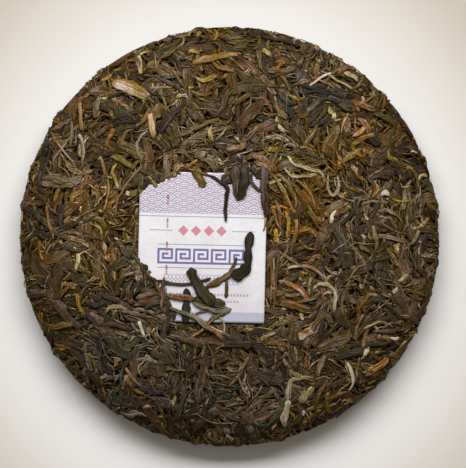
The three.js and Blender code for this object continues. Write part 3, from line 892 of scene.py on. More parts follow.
# Flakes: bits of every kind of leaf, 1 to 6 mm long, that broke off when the tea was sorted and
# pressed. They are flat, lie a little more tilted than the leaves and fill in between them.
FLAKE_PALETTE = ((50, 41, 24), (76, 61, 36), (102, 80, 47), (130, 108, 70), (168, 148, 106))
flake_forms = forms_of("flake", 6, 15, length=(1.8, 4.5), width=(0.9, 2.2), thick=(0.5, 0.8),
                       rings=3, across=4, bend=0.6, fold=(0.3, 0.7), pointed=0.2)
lay_leaves("flakes", flake_forms, leaf_material("flake", FLAKE_PALETTE, 3), 6,
           spacing=(3.8, 5.4), levels=(-0.6, 0.95), lengths=(0.7, 1.4), tilt=8, cells=53)

bpy.data.objects.remove(outline_object)
bpy.data.objects.remove(window)


# Single leaves that stand out in the top of the cake, each at its own place: pale stems and curls,
# yellow and orange leaves, and long dark ones. They are pressed in level with the rest.
LEAF_COLOURS = {
    "dark": (46, 38, 24), "mould": (68, 58, 43), "slate": (58, 50, 39), "purple": (62, 47, 44),
    "olive": (84, 74, 42), "moss": (62, 55, 37), "ink": (46, 43, 40), "steel": (112, 106, 84),
    "green": (146, 134, 98), "drab": (112, 94, 70), "brown": (96, 72, 42), "russet": (104, 78, 54),
    "rust": (114, 84, 58), "tan": (140, 118, 82), "grey": (122, 116, 96), "pink": (136, 106, 84),
    "rosy": (144, 120, 94), "straw": (170, 150, 112), "bone": (152, 138, 116),
    "cream": (200, 184, 152), "apricot": (200, 166, 134), "gold": (150, 124, 78),
    "yellow": (160, 138, 84), "orange": (146, 108, 72), "lime": (120, 106, 72),
}
SINGLE_THICK = 0.75 * MM
SINGLE_HEIGHT = 1.05 * MM
ROUTE_STEPS = 6
ROUTE_LUMPS = 350
ROUTE_SWELL = 0.35
ROUTE_STRAY = 0.5 * MM
ROUTE_SEED = 5
STEM_WIDTH = 1.3
BROAD_WIDTH = 3
ROUND_END = 0.9
ROUND_POWER = 2.4
BLUNT_END = 0.5
# The part of a route at each end over which a leaf comes to its height, as one in so many
ENDS = 5

# Each one's colour, width and route, in millimetres from the middle of the cake
SINGLE_LEAVES = [
    ("rosy", (3.6, 6.6, 6.8, 4.2), [(-56, 73.1), (-50.2, 71.7), (-43.6, 68.8), (-37.5, 65.4)]),
    ("apricot", (2.4, 3.2, 2.8), [(-37.5, 59.4), (-36.9, 53.6), (-35.5, 46.9)]),
    ("grey", 2.8, [(-61.2, 67.4), (-63.1, 62.1), (-64, 56)]),
    ("pink", 1.6, [(-60.7, 37.4), (-59.3, 32.6), (-57.4, 26.9)]),
    ("drab", (0.9, 1.4, 1.2), [(-54.3, 7.4), (-52.1, 18.8), (-45.5, 28), (-40.7, 34.7)]),
    ("bone", (1, 1.5, 1), [(-40.7, 34.7), (-43.4, 40.5), (-43, 45.5), (-36.6, 52)]),
    ("grey", (1, 1.8, 1.2), [(-76, 42), (-74.6, 48.4), (-75.4, 55)]),
    ("rosy", (1.2, 2.4, 1.4), [(-70, 33.6), (-69, 41), (-71.4, 49)]),
    ("lime", (1.2, 3, 2.2), [(-57.4, 38.3), (-52.1, 36.9), (-46, 32.6)]),
    ("orange", 2.2, [(-54, 51.7), (-56.4, 46.9), (-58.8, 41.7)]),
    ("russet", 1.5, [(-53.1, 21.7), (-49.3, 23.1), (-45.5, 25)]),
    ("gold", 1.9, [(-71.2, 66), (-70.7, 58.3), (-70.2, 49.8)]),
    ("tan", (2.4, 3.8, 3.4, 2.2), [(-18.3, 82.2), (-11.7, 83.6), (-3.6, 85.6), (5.5, 87)]),
    ("purple", (2, 3.6, 3.2, 1.8), [(-33.6, 47.9), (-29.3, 54.5), (-25.5, 59.3), (-21.2, 61.7)]),
    ("slate", (1.4, 2.4, 1.6), [(-58, 53), (-52, 56.8), (-45.5, 58.6), (-40, 57.8)]),
    ("dark", (1.2, 2.4, 1.6), [(-57, 49.4), (-51.6, 53.6), (-45, 54.4), (-39.4, 55.6)]),
    ("ink", (1, 2, 1.2), [(-55, 56.6), (-49.4, 55.6), (-43.6, 59.8)]),
    ("mould", (1, 1.8, 1), [(-54, 48.2), (-48.4, 51.6), (-41, 51.4)]),
    ("olive", (0.8, 1.4, 0.8), [(-52, 60.2), (-47, 57.4), (-42.4, 53)]),
    ("pink", 1.1, [(-85.5, 50.2), (-80.7, 43.1), (-73.6, 34.5)]),
    ("tan", 1.0, [(-84.5, 35), (-79.8, 41.2), (-74, 49.3)]),
    ("orange", 1.5, [(-86.9, 16), (-86, 9.8), (-84, 1.7)]),
    ("bone", (1.2, 2, 1.4), [(27.4, 38.8), (30.2, 34.5), (36.4, 32.1), (43.1, 30.2), (45.5, 25.5)]),
    ("bone", (1, 1.6, 1.4), [(25.5, 33.1), (28.8, 28.8), (36, 28.3), (43.1, 30)]),
    ("drab", (1.6, 2.6, 1.6), [(34, 40.7), (38.3, 46.9), (41.7, 52.6)]),
    ("bone", (1, 1.6, 1.2), [(46.4, 29.3), (46.4, 23.6), (48.8, 19.3), (51.7, 23.1), (51.2, 28.8)]),
    ("drab", (1.6, 3, 2), [(52.6, 34.5), (57.4, 38.3), (62.1, 41.2)]),
    ("cream", (1.2, 2.4, 1.6), [(70.7, 18.8), (73.6, 20.7), (76, 19.3)]),
    ("gold", 1.1, [(52.6, 48.3), (53.6, 53), (56.4, 58.6)]),
    ("gold", (1.4, 2.6, 1.8), [(57.6, 47.6), (62, 49.4), (65.4, 53.6)]),
    ("rust", (1.6, 3, 2), [(60.4, 56), (64.4, 53.2), (66.6, 47.6)]),
    ("rust", (2, 3.8, 2.4), [(59.4, 63.6), (64, 61.8), (70, 60)]),
    ("yellow", 2.4, [(15, 88.8), (17.4, 87.4), (20.2, 85.5)]),
    ("straw", 2.4, [(55, 78.3), (58.3, 76.4), (61.7, 74.5)]),
    ("olive", (1.8, 3, 2), [(68.8, 58.8), (74, 56.6), (80.4, 52)]),
    ("cream", 1.3, [(36.4, 69.8), (42.1, 74.5), (49.3, 78.3)]),
    ("straw", 1.1, [(44, 78.8), (52.6, 73.1), (61.2, 68.8)]),
    ("tan", 1.2, [(39.3, 75), (46, 72.6), (51.2, 69.3)]),
    ("dark", (1.2, 2.2, 1.2), [(33, 71.6), (39.6, 70.2), (47, 70.6)]),
    ("slate", (1, 1.9, 1.2), [(38, 71), (45, 68.8), (52, 69.6), (57.4, 67)]),
    ("ink", (1.2, 2.3, 1.4), [(34.6, 67.6), (42, 68.8), (49.4, 66)]),
    ("dark", (1, 2.1, 1.2), [(45, 68.6), (52.6, 66.4), (60, 65.8)]),
    ("slate", (0.9, 1.7, 1), [(36, 65.4), (43, 66.6), (50, 64), (56.4, 64.8)]),
    ("mould", (0.8, 1.5, 1), [(40.6, 62.8), (47, 65.4), (54.6, 62)]),
    ("grey", 0.7, [(37, 67), (44.4, 65.2), (50.4, 66.8)]),
    ("grey", 0.6, [(45, 70.6), (51.4, 67.2), (58.4, 68.2)]),
    ("slate", (1.6, 3.2, 2.4), [(-69.4, -27.6), (-64.6, -28.4), (-59.6, -31)]),
    ("ink", (1.4, 2.6, 1.8), [(-68, -31.4), (-62.8, -32.6), (-58.4, -30.4)]),
    ("purple", (1.4, 2.8, 1.4), [(-61, -27.2), (-55.8, -29.2), (-51, -31.6)]),
    ("gold", (1.2, 2.2, 1.2), [(-59.4, -37.2), (-56.4, -33.8), (-51.4, -33.2), (-47.4, -36)]),
    ("russet", (1.4, 2.4, 1.8), [(-52, -34.9), (-45.5, -36), (-38.3, -37.9)]),
    ("cream", 1.6, [(-42.6, -39.3), (-41.7, -43.6), (-40.2, -47.9)]),
    ("orange", 1.4, [(-84, -51.2), (-81.2, -51.9), (-77.9, -52.6)]),
    ("slate", (1.6, 3, 2), [(-68.3, -35.5), (-65, -38.8), (-60.7, -43.6)]),
    ("lime", (1, 1.8, 1.4), [(-11.4, -50.6), (-12, -54.2), (-12.9, -58)]),
    ("tan", 1.4, [(-49.8, -61.7), (-46, -66.4), (-41.7, -71.2)]),
    ("straw", 1.5, [(-27.9, -33.1), (-18.8, -37.9), (-9.3, -42.6), (0.7, -47.4)]),
    ("tan", 1.3, [(-18.8, -48.3), (-11.2, -42.6), (-3.6, -34.5)]),
    ("bone", (0.8, 1.6, 1.5, 1), [(-52.4, -84), (-47.4, -85.4), (-43, -84.2), (-38.8, -86)]),
    ("orange", (1.4, 2.6, 2.6, 1.6), [(23.3, -20.8), (29, -22.6), (34, -25.6), (37.6, -31)]),
    ("rust", (2.6, 4, 2.6), [(21.8, -31), (30, -32.6), (38.6, -35.4)]),
    ("rosy", (1.2, 2, 1.4), [(26, -15.4), (32, -14), (38.7, -14.6), (45.5, -19.6)]),
    ("drab", (0.9, 1.4, 1), [(19.4, -9), (20, -20), (19.2, -33)]),
    ("rosy", (0.8, 1.2, 1), [(21.4, -8), (20.8, -18), (21.6, -29.4)]),
    ("russet", (1, 1.6, 1.2), [(23.4, -6.4), (22, -19), (20.8, -37)]),
    ("drab", (1, 1.4, 1), [(22.8, -7), (30, -11.6), (38.7, -17.4)]),
    ("straw", (1.2, 1.8, 1.6, 1.4), [(39.2, -24.6), (42.4, -22.7), (46.4, -22.7), (49.5, -26.2),
                                     (50, -31), (48.8, -38.4)]),
    ("straw", (1, 1.8, 1), [(44, -27.6), (46, -26.4), (48, -27.4)]),
    ("rosy", (3.6, 4.2, 3.6), [(31.8, -48.2), (35.5, -46), (39.9, -43.4)]),
    ("cream", (1.8, 2.6, 2), [(65.6, -52.4), (64.8, -54.6), (63.8, -57)]),
    ("cream", 1.5, [(76, -48.3), (78.3, -48.3), (80.7, -48.3)]),
    ("green", (1.2, 1.8, 2.4, 3.4, 3.2), [(40.2, -66.7), (33.6, -67), (29.4, -68.2), (27.8, -73),
                                          (27.7, -79)]),
    ("straw", (2.4, 3, 3.8, 2), [(27.8, -76.5), (27.2, -80.5), (26, -85.5), (26.4, -90.6)]),
    ("green", (1.6, 3, 4.2, 2.4), [(40, -70.6), (38.3, -72.8), (35.4, -76), (32.7, -79)]),
    ("cream", (1, 1.8, 1.4), [(35.4, -81.8), (35.3, -83.6), (34.8, -85.8)]),
    ("rust", (1, 2, 1.2), [(25.4, -56.8), (27, -60.6), (29.4, -63.4)]),
    ("lime", (1.4, 2.8, 1.6), [(27.6, -61.8), (31, -65), (35.4, -66.4)]),
    ("cream", (0.9, 1.8, 1.6, 0.9), [(55.4, -59.6), (57.4, -63.6), (58.6, -68.6), (57.2, -73.6)]),
    ("drab", (1.6, 3, 2.6, 1.4), [(46.6, -55.4), (43.6, -59.2), (42.2, -63.6), (41.4, -68.2)]),
    ("orange", 3.2, [(63.6, -66), (69.3, -62.6), (76, -58.3)]),
    ("yellow", 1.3, [(63.1, -44.5), (66.9, -41.7), (72.6, -39.8)]),
    ("yellow", 1.8, [(79.3, -22.1), (82.1, -19.8), (85.5, -17.4)]),
    ("lime", 1.8, [(86.4, -4), (88.3, -0.2), (90.7, 3.6)]),
    ("russet", (2.4, 4, 3), [(9.6, 38.8), (15.4, 36.4), (22.4, 30.6)]),
    ("rust", (1.6, 2.6, 1.6), [(12, 35.4), (17, 32.6), (20.6, 28.2)]),
    ("drab", (1, 2, 1.4), [(19.4, 30.6), (23, 25.4), (26.4, 19), (28, 11)]),
    ("gold", (0.8, 1.3, 0.9), [(20.6, 28.6), (25.4, 22.6), (28.4, 15.4), (31, 9.6)]),
    ("brown", (1.2, 2.4, 1.4), [(22.4, 30), (27, 25.4), (30, 19.6), (34, 13)]),
    ("tan", (0.8, 1.4, 0.8), [(25, 25.6), (30.4, 20), (31.4, 12.6)]),
    ("olive", (1, 2, 1.2), [(25.6, 27.4), (31.6, 23), (35, 17), (36, 9)]),
    ("brown", (0.9, 1.7, 1), [(29.4, 26), (33, 19.4), (38.6, 14.4)]),
    ("drab", (1, 1.9, 1.2), [(30, 27.6), (35.6, 23.4), (39.4, 17.4), (41, 9.6)]),
    ("brown", (1.2, 2.2, 1.4), [(21.4, 18), (23.6, 10.6), (23.6, 1.6)]),
    ("drab", (0.8, 1.5, 0.9), [(20, 14.6), (22, 7.4), (25.4, 0.4)]),
    ("gold", (1.2, 2, 1.4), [(26.4, 13), (27.8, 6), (27, -2)]),
    ("rosy", (1.2, 2.2, 1.4), [(31.6, 9), (31.4, 2), (29.6, -5)]),
]


def smooth_route(points):
    """A Catmull-Rom curve through the points given, in metres."""
    places = [Vector((x, y, 0)) * MM for x, y in points]
    places = [places[0] * 2 - places[1], *places, places[-1] * 2 - places[-2]]
    route = []
    for a, b, c, d in zip(places, places[1:], places[2:], places[3:]):
        for i in range(ROUTE_STEPS):
            t = i / ROUTE_STEPS
            route.append((b * 2 + (c - a) * t + (a * 2 - b * 5 + c * 4 - d) * t ** 2
                          + (b * 3 - a - c * 3 + d) * t ** 3) / 2)
    return route + [places[-2]]


def routed_leaf(chance, colour, width, points, heights, thick):
    """A leaf laid along a route over the cake, at a height at each end and in between.

    It has one width or several along its route, and round ends."""
    spine = smooth_route(points)
    last = len(spine) - 1
    gone = [0.0]
    for before, after in zip(spine, spine[1:]):
        gone.append(gone[-1] + (after - before).length)
    widths = width if isinstance(width, tuple) else (width, width)
    widest = max(widths)
    offset = chance.uniform(0, 100)
    halves = []
    for i, place in enumerate(spine):
        share = i / last
        place.z = heights[0] + (heights[1] - heights[0]) * min(1, share * ENDS)
        place.z += (heights[2] - heights[1]) * max(0, share * ENDS - (ENDS - 1))
        step = min(int(share * (len(widths) - 1)), len(widths) - 2)
        part = share * (len(widths) - 1) - step
        half = (widths[step] * (1 - part) + widths[step + 1] * part) / 2 * MM
        to_end = min(1, min(gone[i], gone[-1] - gone[i]) / (half * ROUND_END))
        taper = max(BLUNT_END, (1 - (1 - to_end) ** ROUND_POWER) ** (1 / ROUND_POWER))
        swell, aside, along = noise.noise_vector(Vector((gone[i] * ROUTE_LUMPS, offset, 0)))
        halves.append(half * taper * (1 + ROUTE_SWELL * swell))
        place += Vector((aside, along, 0)) * ROUTE_STRAY
    across = 3 if widest <= STEM_WIDTH else 4 if widest < BROAD_WIDTH else 6
    fold = 0.2 if widest <= STEM_WIDTH else 0.7
    verts, faces, grain, ridges = leaf_strip(
        chance, spine, halves, thick, across, fold, (chance.uniform(0.3, 0.9), 0.5), 0.06)
    names = list(LEAF_COLOURS)
    values = {"ridge": ridges, "tone": [(names.index(colour) + 0.5) / len(names)] * len(verts),
              "shade": [chance.uniform(0.5, 1)] * len(verts),
              "depth": [-vert.z for vert in verts]}
    return [on_cake(*vert) for vert in verts], faces, grain, values


def leaves_piece(name, leaves, material):
    """One piece of several routed leaves."""
    verts, faces, grain, values = [], [], [], {}
    for own_verts, own_faces, own_grain, own_values in leaves:
        faces += [tuple(i + len(verts) for i in face) for face in own_faces]
        verts += own_verts
        grain += own_grain
        for key, numbers in own_values.items():
            values.setdefault(key, []).extend(numbers)
    piece = linked(name, leaf_mesh(name, verts, faces, grain, values))
    piece.data.materials.append(material)
    return piece


single_leaf = leaf_material("single_leaf", list(LEAF_COLOURS.values()), 10, stepped=True)
noise.seed_set(ROUTE_SEED)
chance = random.Random(21)
in_the_cake(leaves_piece("single_leaves", [
    routed_leaf(chance, colour, width, points, (0, SINGLE_HEIGHT, 0), SINGLE_THICK)
    for colour, width, points in SINGLE_LEAVES], single_leaf))


# The ticket: thin uncoated paper, laid in the mould face out and pressed in with the leaves, so it
# is wavy, stained, and its left corners run under them. Its soft lavender and violet print is a
# band of round scales, rules, lozenges, a key pattern, rows of dots and a thread of red dashes.
TICKET_WIDTH = 60 * MM
TICKET_LENGTH = 70.5 * MM
TICKET_MIDDLE = Vector((-12.9, -5.1)) * MM
TICKET_TURN = math.radians(-1.3)
TICKET_LIFT = 0.78 * MM
TICKET_WAVE = 0.14 * MM
TICKET_THICK = 0.1 * MM
TICKET_DIP = 2.2 * MM
DIP_REACH = 3 * MM
TICKET_CELLS = (60, 70)


def outside_open_part(x, y):
    """How far a flat place is outside the ticket's open part."""
    place = Vector((x, y))
    nearest = math.inf
    inside = False
    for corner, following in zip(open_part, open_part[1:] + open_part[:1]):
        side = following - corner
        share = max(0, min(1, (place - corner).dot(side) / side.length_squared))
        nearest = min(nearest, (place - corner - side * share).length)
        if (corner.y > y) != (following.y > y) and x < corner.x + side.x * (y - corner.y) / side.y:
            inside = not inside
    return 0 if inside else nearest


def ticket_height(x, y):
    wave = noise.noise(Vector((x, y, 0)) * 90) + 0.5 * noise.noise(Vector((x, y, 0.01)) * 260)
    covered = min(1, outside_open_part(x, y) / DIP_REACH)
    return TICKET_LIFT + TICKET_WAVE * wave - TICKET_DIP * covered ** 2 * (3 - 2 * covered)


def ticket_mesh():
    """The sheet's two faces and its edge, with a map of the print and one for both faces."""
    columns, rows = TICKET_CELLS
    verts = []
    for face in (0.5, -0.5):
        for j in range(rows + 1):
            for i in range(columns + 1):
                flat = Vector(((i / columns - 0.5) * TICKET_WIDTH, (j / rows - 0.5) * TICKET_LENGTH))
                flat.rotate(Matrix.Rotation(TICKET_TURN, 2))
                flat += TICKET_MIDDLE
                verts.append(on_cake(*flat, ticket_height(*flat) + face * TICKET_THICK))
    across = columns + 1
    under = across * (rows + 1)
    faces = []
    prints = []
    bakes = []

    def spots(kind, *places):
        prints.extend(places if kind == "top" else [(-1, -1)] * len(places))
        bakes.extend((0.49 * u + (0 if kind == "top" else 0.5), v) for u, v in places)

    for j in range(rows):
        for i in range(columns):
            base = j * across + i
            square = (base, base + 1, base + across + 1, base + across)
            near = (i / columns, j / rows, (i + 1) / columns, (j + 1) / rows)
            round_square = [(near[0], near[1]), (near[2], near[1]),
                            (near[2], near[3]), (near[0], near[3])]
            faces.append(square)
            spots("top", *round_square)
            faces.append(tuple(under + k for k in reversed(square)))
            spots("under", *reversed(round_square))
    rim = [*range(columns), *(columns + across * j for j in range(rows)),
           *(across * rows + columns - i for i in range(columns)),
           *(across * (rows - j) for j in range(rows))]
    for here, there in zip(rim, rim[1:] + rim[:1]):
        faces.append((here, under + here, under + there, there))
        spots("under", *[(k % across / columns, k // across / rows)
                         for k in (here, here, there, there)])
    mesh = bpy.data.meshes.new("ticket_sheet")
    mesh.from_pydata(verts, [], faces)
    mesh.polygons.foreach_set("use_smooth", [True] * len(faces))
    for name, places in (("OFBake", bakes), ("print", prints)):
        layer = mesh.uv_layers.new(name=name)
        layer.data.foreach_set("uv", [part for spot in places for part in spot])
    return mesh


def near_to(tree, value, middle, half):
    return maths(tree, "COMPARE", value, middle, half)


def in_box(tree, x, y, left, right, low, high):
    return times(tree, near_to(tree, x, (left + right) / 2, (right - left) / 2),
                 near_to(tree, y, (low + high) / 2, (high - low) / 2))


def step_share(tree, value, step):
    """How far along its own step a place is, from 0 to 1."""
    return maths(tree, "FRACT", maths(tree, "DIVIDE", value, step))


def printed(tree, below, ink, strength, *masks):
    """The sheet's colour with an ink over it, where all the masks meet."""
    return mixed(tree, times(tree, *masks, strength), below, (*seen(*ink), 1))


PAPER = (219, 218, 224)
STAIN = (199, 193, 199)
BAND_TINT = (213, 203, 209)
LAVENDER = (148, 140, 164)
VIOLET = (72, 64, 136)
GREY_INK = (118, 114, 134)
ROSE = (188, 78, 102)
PALE_BLUE = (168, 174, 200)
DARK_THREAD = (74, 48, 72)
FIBRE_SCALE = 1100
FIBRE_SPAN = (0.3, 0.7, 0.93, 1.04)
STAIN_SCALE = 70
STAIN_SPAN = (0.4, 0.75, 0, 0.5)
FOOT_STAIN_SPAN = (12, 34, 0.35, 0)
# Where the print lies, in millimetres from the sheet's lower left corner: left, right, low, high
BAND = (0, 60, 51, 70.5)
LOW_BAND = (12, 48, 17.5, 22.5)
RULES = ((0, 60, 49.4, 49.8), (5, 16, 42.8, 43.2), (44, 55, 42.8, 43.2), (9, 51, 36.2, 36.6),
         (9, 51, 25.2, 25.6))
LOZENGE_ROW = (18, 42, 39.8, 46.2)
DOT_ROWS = ((10, 53, 12.4, 13.6), (30, 48, 9.4, 10.3))
FOOT_BAND = (0, 60, 0, 5)
THREAD = (13, 13.9, 8, 70)
SCALE_RADIUS = 3
LOZENGE_STEP = 6
LOZENGE_MIDDLE = 43
LOZENGE_REACH = 2.5
DOT_STEP = 1.5
DASH_STEP = 11
DASHES = ((0.0, ROSE), (0.22, DARK_THREAD))
# The key pattern's strokes in one repeat, in strokes' widths: left, right, low, high
KEY_STROKES = ((0, 8, 0, 1), (0, 1, 0, 7), (0, 7, 6, 7), (6, 7, 2, 7), (2, 7, 2, 3), (2, 3, 2, 5),
               (2, 5, 4, 5))
KEY_STROKE = 1.05
KEY_REPEAT = 8
KEY_REPEATS = 5
KEY_LEFT = 9
KEY_LOW = 27.2
KEY_HIGH = 36


def wave_net(tree, x, y, pitch, sway, length):
    """Two sets of fine upright lines that sway against each other."""
    masks = []
    for way in (-1, 1):
        bend = times(tree, maths(tree, "SINE", times(tree, y, 2 * math.pi / length)), way * sway)
        phase = step_share(tree, maths(tree, "ADD", x, bend), pitch)
        masks.append(near_to(tree, phase, 0.5, 0.16))
    return chained(tree, "MAXIMUM", masks)


def scale_arcs(tree, x, y, radius):
    """Rings of round scales, each row half a scale aside and over the row above it."""
    rows = []
    level = maths(tree, "FLOOR", maths(tree, "DIVIDE", y, radius / 2))
    for below in (0, 1):
        row = maths(tree, "SUBTRACT", level, below)
        aside = maths(tree, "FRACT", times(tree, row, 0.5))
        place = maths(tree, "SUBTRACT", maths(tree, "DIVIDE", x, 2 * radius), aside)
        across = times(tree, maths(
            tree, "SUBTRACT", maths(tree, "FRACT", place), 0.5), 2 * radius)
        up = maths(tree, "SUBTRACT", y, times(tree, row, radius / 2))
        rows.append(maths(tree, "DIVIDE", vector_maths(
            tree, "LENGTH", vector_of(tree, across, up)), radius))
    lower = maths(tree, "LESS_THAN", rows[1], 1)
    from_middle = node(tree, "ShaderNodeMix", {0: lower, 2: rows[0], 3: rows[1]}).outputs[0]
    return near_to(tree, maths(tree, "FRACT", times(tree, from_middle, 3)), 0.8, 0.2)


def ticket_surface(tree, surface):
    mapped = node(tree, "ShaderNodeUVMap", uv_map="print").outputs["UV"]
    place = node(tree, "ShaderNodeSeparateXYZ", {0: mapped}).outputs
    x = times(tree, place["X"], TICKET_WIDTH / MM)
    y = times(tree, place["Y"], TICKET_LENGTH / MM)
    where = node(tree, "ShaderNodeTexCoord").outputs["Object"]
    fibres = clouds(tree, where, FIBRE_SCALE, 4)
    stained = maths(tree, "ADD", span_to(tree, clouds(tree, where, STAIN_SCALE, 3), *STAIN_SPAN),
                    span_to(tree, y, *FOOT_STAIN_SPAN))
    colour = printed(tree, (*seen(*PAPER), 1), STAIN, 1, stained)

    band = in_box(tree, x, y, *BAND)
    colour = printed(tree, colour, BAND_TINT, 0.7, band)
    colour = printed(tree, colour, LAVENDER, 1, band, scale_arcs(tree, x, y, SCALE_RADIUS))
    colour = printed(tree, colour, LAVENDER, 0.7, in_box(tree, x, y, *LOW_BAND),
                     wave_net(tree, x, y, 1.8, 0.9, 5))
    rules = chained(tree, "MAXIMUM", [in_box(tree, x, y, *box) for box in RULES])
    colour = printed(tree, colour, GREY_INK, 0.8, rules)

    # Lozenges: a row between the two short rules
    step = maths(tree, "SUBTRACT", step_share(tree, x, LOZENGE_STEP), 0.5)
    off = maths(tree, "ADD", maths(tree, "ABSOLUTE", times(tree, step, LOZENGE_STEP)),
                maths(tree, "ABSOLUTE", maths(tree, "SUBTRACT", y, LOZENGE_MIDDLE)))
    colour = printed(tree, colour, ROSE, 0.75, in_box(tree, x, y, *LOZENGE_ROW),
                     near_to(tree, off, 0, LOZENGE_REACH))

    # The key pattern: one repeat's strokes, seen again and again along the row
    along = times(tree, step_share(
        tree, maths(tree, "SUBTRACT", x, KEY_LEFT), KEY_REPEAT * KEY_STROKE), KEY_REPEAT)
    up = maths(tree, "DIVIDE", maths(tree, "SUBTRACT", y, KEY_LOW), KEY_STROKE)
    strokes = chained(tree, "MAXIMUM", [in_box(tree, along, up, *box) for box in KEY_STROKES])
    key_right = KEY_LEFT + KEY_REPEATS * KEY_REPEAT * KEY_STROKE
    colour = printed(tree, colour, VIOLET, 0.85,
                     in_box(tree, x, y, KEY_LEFT, key_right, KEY_LOW, KEY_HIGH), strokes)

    # Rows of fine dots, the pale foot band, and the thread of dashes
    dots = near_to(tree, step_share(tree, x, DOT_STEP), 0.5, 0.3)
    rows = chained(tree, "MAXIMUM", [in_box(tree, x, y, *box) for box in DOT_ROWS])
    colour = printed(tree, colour, GREY_INK, 0.6, dots, rows)
    foot = in_box(tree, x, y, *FOOT_BAND)
    colour = printed(tree, colour, PALE_BLUE, 0.6, foot)
    colour = printed(tree, colour, GREY_INK, 0.35, foot, wave_net(tree, x, y, 1.3, 0.5, 3))
    for start, ink in DASHES:
        dash = near_to(tree, step_share(tree, y, DASH_STEP), start + 0.1, 0.1)
        colour = printed(tree, colour, ink, 0.7, dash, in_box(tree, x, y, *THREAD))

    shadow = span_to(tree, fibres, *FIBRE_SPAN)
    fill(tree, surface, {
        "Base Color": vector_maths(
            tree, "MULTIPLY", colour, vector_of(tree, shadow, shadow, shadow)),
        "Normal": bumped(tree, fibres, 0.4, 0.15 * MM), "Roughness": 0.75,
        "Specular IOR Level": 0.3})


ticket = linked("ticket_sheet", ticket_mesh())
ticket.data.materials.append(shader("ticket_print", ticket_surface))
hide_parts("paper_ticket")
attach(ticket, "root")


# The cake's leaves over the ticket: stems and leaves that reach in over its edges and corners from
# the cake round it. They were pressed down on the paper and lie 0.3 mm or so over its face.
CROSSING_THICK = 0.8 * MM
BORDER_THICK = 0.6 * MM
CROSSING_START = 0.8 * MM
BORDER_HEIGHTS = (0.2 * MM, 0.9 * MM, 1.1 * MM)
BORDER_LENGTHS = (6, 15)
BORDER_REACHES = (0.5, 3.2)
BORDER_WIDTHS = (1.0, 1.6, 2.2, 2.8, 3.6)
BORDER_STRAY = 1.2
BORDER_BOW = 0.15
LEVELS = {"low": 1.2 * MM, "mid": 1.5 * MM, "high": 1.9 * MM}
CROSSING_LEAVES = [
    ("drab", (3.6, 4.8, 3.8), "low", [(-16, 33), (-14.6, 29), (-12.4, 23.6)]),
    ("pink", 1.1, "mid", [(-19.5, 31.8), (-15, 30.6), (-10.5, 29)]),
    ("dark", (1.2, 1.5, 2, 2.2, 1.8, 1.4), "mid", [(-12.5, 30.6), (-5.5, 26.6), (-1.7, 23.6),
                                                    (-1, 19.8), (-1.7, 13.1), (-1.9, 7.2)]),
    ("mould", (3.4, 5, 4.6, 3.4), "mid", [(2.4, 33), (3, 28.8), (3.8, 23.5), (4, 17.4)]),
    ("dark", (3.2, 4.6, 4.4, 2.8), "high", [(6.6, 33.4), (7, 28.6), (6.4, 23.4), (5.2, 17.8)]),
    ("mould", (2.4, 3, 2), "low", [(10, 30.6), (9, 27.4), (8.2, 23.6)]),
    ("mould", (4.6, 5.8, 5.4), "low", [(4, 31), (1, 28.6), (-2.7, 25.4)]),
    ("dark", (2.4, 3.2), "low", [(9.4, 32.6), (12, 30.4), (14.6, 27.6)]),
    ("purple", 1.8, "mid", [(8, 28.4), (11, 24.8), (14.9, 21.4)]),
    ("purple", (3.8, 4, 3.6, 1.8), "high", [(16.6, 34), (16.3, 24), (16.7, 17), (17.1, 9.2)]),
    ("tan", 0.9, "low", [(17.6, 9.4), (17, 6.2), (15.9, 2.6)]),
    ("mould", 1.4, "mid", [(-45.5, -8.3), (-42.9, -12.1), (-38.5, -18.2), (-32.9, -21.2),
                          (-26.4, -22.1), (-19.5, -22.6), (-14, -21.6), (-9, -19.6)]),
    ("russet", (2.2, 2, 1.6), "high", [(-32.2, -35), (-31.4, -27.2), (-31, -19.2)]),
    ("drab", 1.5, "mid", [(-35.5, -19.6), (-33.6, -24.4), (-31.6, -29)]),
    ("brown", 2.6, "low", [(-44, -29), (-36, -27), (-29.6, -27.4)]),
    ("moss", 2.2, "mid", [(-40, -34), (-33.6, -31), (-27.2, -32.4)]),
    ("steel", (1.2, 1.7, 1.6, 1.3), "high", [(-31.4, -32.2), (-23.4, -35.2), (-16.9, -37.8),
                                              (-12.4, -42), (-7, -45)]),
    ("steel", (1.4, 2, 1.5), "high", [(-18, -30.6), (-13.1, -33.1), (-5.7, -35.6)]),
    ("grey", 0.8, "mid", [(-17, -36.6), (-11.4, -35), (-1, -33)]),
    ("steel", (1.2, 3.4, 2), "low", [(-10, -40.6), (-6, -37.4), (0.6, -34)]),
    ("straw", 0.9, "high", [(-4.4, -37.6), (-2.4, -41.6), (-2.6, -46)]),
    ("tan", (1.2, 1.8, 1.4), "high", [(-17.9, -36.2), (-11.2, -41.2), (-3, -48.3)]),
    ("moss", 1.4, "high", [(-29.6, -46), (-28.8, -38), (-29.2, -30.4)]),
]
BORDER_COLOURS = ("dark", "olive", "brown", "dark", "mould", "drab", "olive", "purple", "tan")
# How many leaves lie over each side of the covered border, from its foot up the left to the top
BORDER_COUNTS = (11, 9, 8, 10, 0, 14)


def border_leaf(chance, place, outward):
    """A leaf of the cake whose end lies over the ticket at a place of its covered border."""
    turn = math.atan2(-outward.y, -outward.x) + chance.uniform(-BORDER_STRAY, BORDER_STRAY)
    length = chance.uniform(*BORDER_LENGTHS)
    reach = chance.uniform(*BORDER_REACHES)
    bow = chance.uniform(-BORDER_BOW, BORDER_BOW) * length
    way = Vector((math.cos(turn), math.sin(turn)))
    side = Vector((-way.y, way.x))
    points = [place + way * (reach - length), place + way * (reach - length / 2) + side * bow,
              place + way * reach]
    width = chance.choice(BORDER_WIDTHS)
    return (chance.choice(BORDER_COLOURS), width, [tuple(point) for point in points])


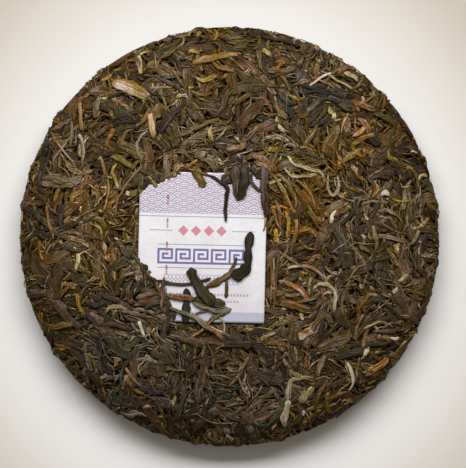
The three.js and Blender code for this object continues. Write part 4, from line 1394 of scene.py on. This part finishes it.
chance = random.Random(22)
covered = [Vector(corner) for corner in OPEN_PART[4:] + OPEN_PART[:2]]
border_leaves = []
for here, there, count in zip(covered, covered[1:], BORDER_COUNTS):
    along = there - here
    for i in range(count):
        place = here + along * (i + chance.random()) / count
        border_leaves.append(border_leaf(chance, place, Vector((-along.y, along.x)).normalized()))
in_the_cake(leaves_piece("crossing_leaves", [
    routed_leaf(chance, colour, width, points, (CROSSING_START, LEVELS[level], LEVELS[level]),
                CROSSING_THICK)
    for colour, width, level, points in CROSSING_LEAVES] + [
    routed_leaf(chance, colour, width, points, BORDER_HEIGHTS, BORDER_THICK)
    for colour, width, points in border_leaves], single_leaf))

# The loose leaves on the ticket: a dark hook, a light brown strap, a short olive stem, a broad
# dark leaf, a level orange-brown one and a blue-black upright one, pressed down on the paper.
LOOSE_THICK = 0.9 * MM
LOOSE_LEAVES = {
    "hooked_leaf": [("dark", (3.2, 3.6, 3.6, 3.8, 5.2, 5.8, 5), "high", [
        (9.9, 1.8), (9.4, -2), (8.7, -6.5), (8.6, -11), (7.9, -15), (4.6, -17.6), (1.5, -18.6)])],
    "strap_leaf": [("drab", (1.2, 1.8, 2.4, 3.2, 2.6), "mid", [
        (3.4, -9.8), (1.6, -14.4), (-0.4, -17.9), (-4.9, -20.9), (-11.2, -23.6)])],
    "short_stem": [("olive", (1, 1.8, 1.9), "low", [(-1.2, -20), (-1.4, -24.4), (-1.6, -28.8)])],
    "broad_leaf": [
        ("moss", (4.4, 4.8, 6.2, 5.6), "high", [(-18.2, -15.2), (-16, -21), (-12.2, -27),
                                                (-7.4, -31.6)]),
        ("moss", (3.2, 5, 4.6), "mid", [(-17.4, -29.4), (-10, -31), (-2.4, -31.6)])],
    "amber_leaf": [("rust", (2.2, 3, 2.8), "high", [(-29, -27.6), (-23, -28.6), (-16.9, -29.2)])],
    "upright_leaf": [("ink", (3.6, 3.8, 4.2, 3.6), "low", [
        (-20.6, -24.6), (-20, -29.6), (-20.4, -35), (-20.8, -40.2)])],
}
for name, leaves in LOOSE_LEAVES.items():
    leaf = leaves_piece(name + "_dry", [routed_leaf(
        chance, colour, width, points, [LEVELS[level]] * 3, LOOSE_THICK)
        for colour, width, level, points in leaves], single_leaf)
    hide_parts(name)
    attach(leaf, "root")
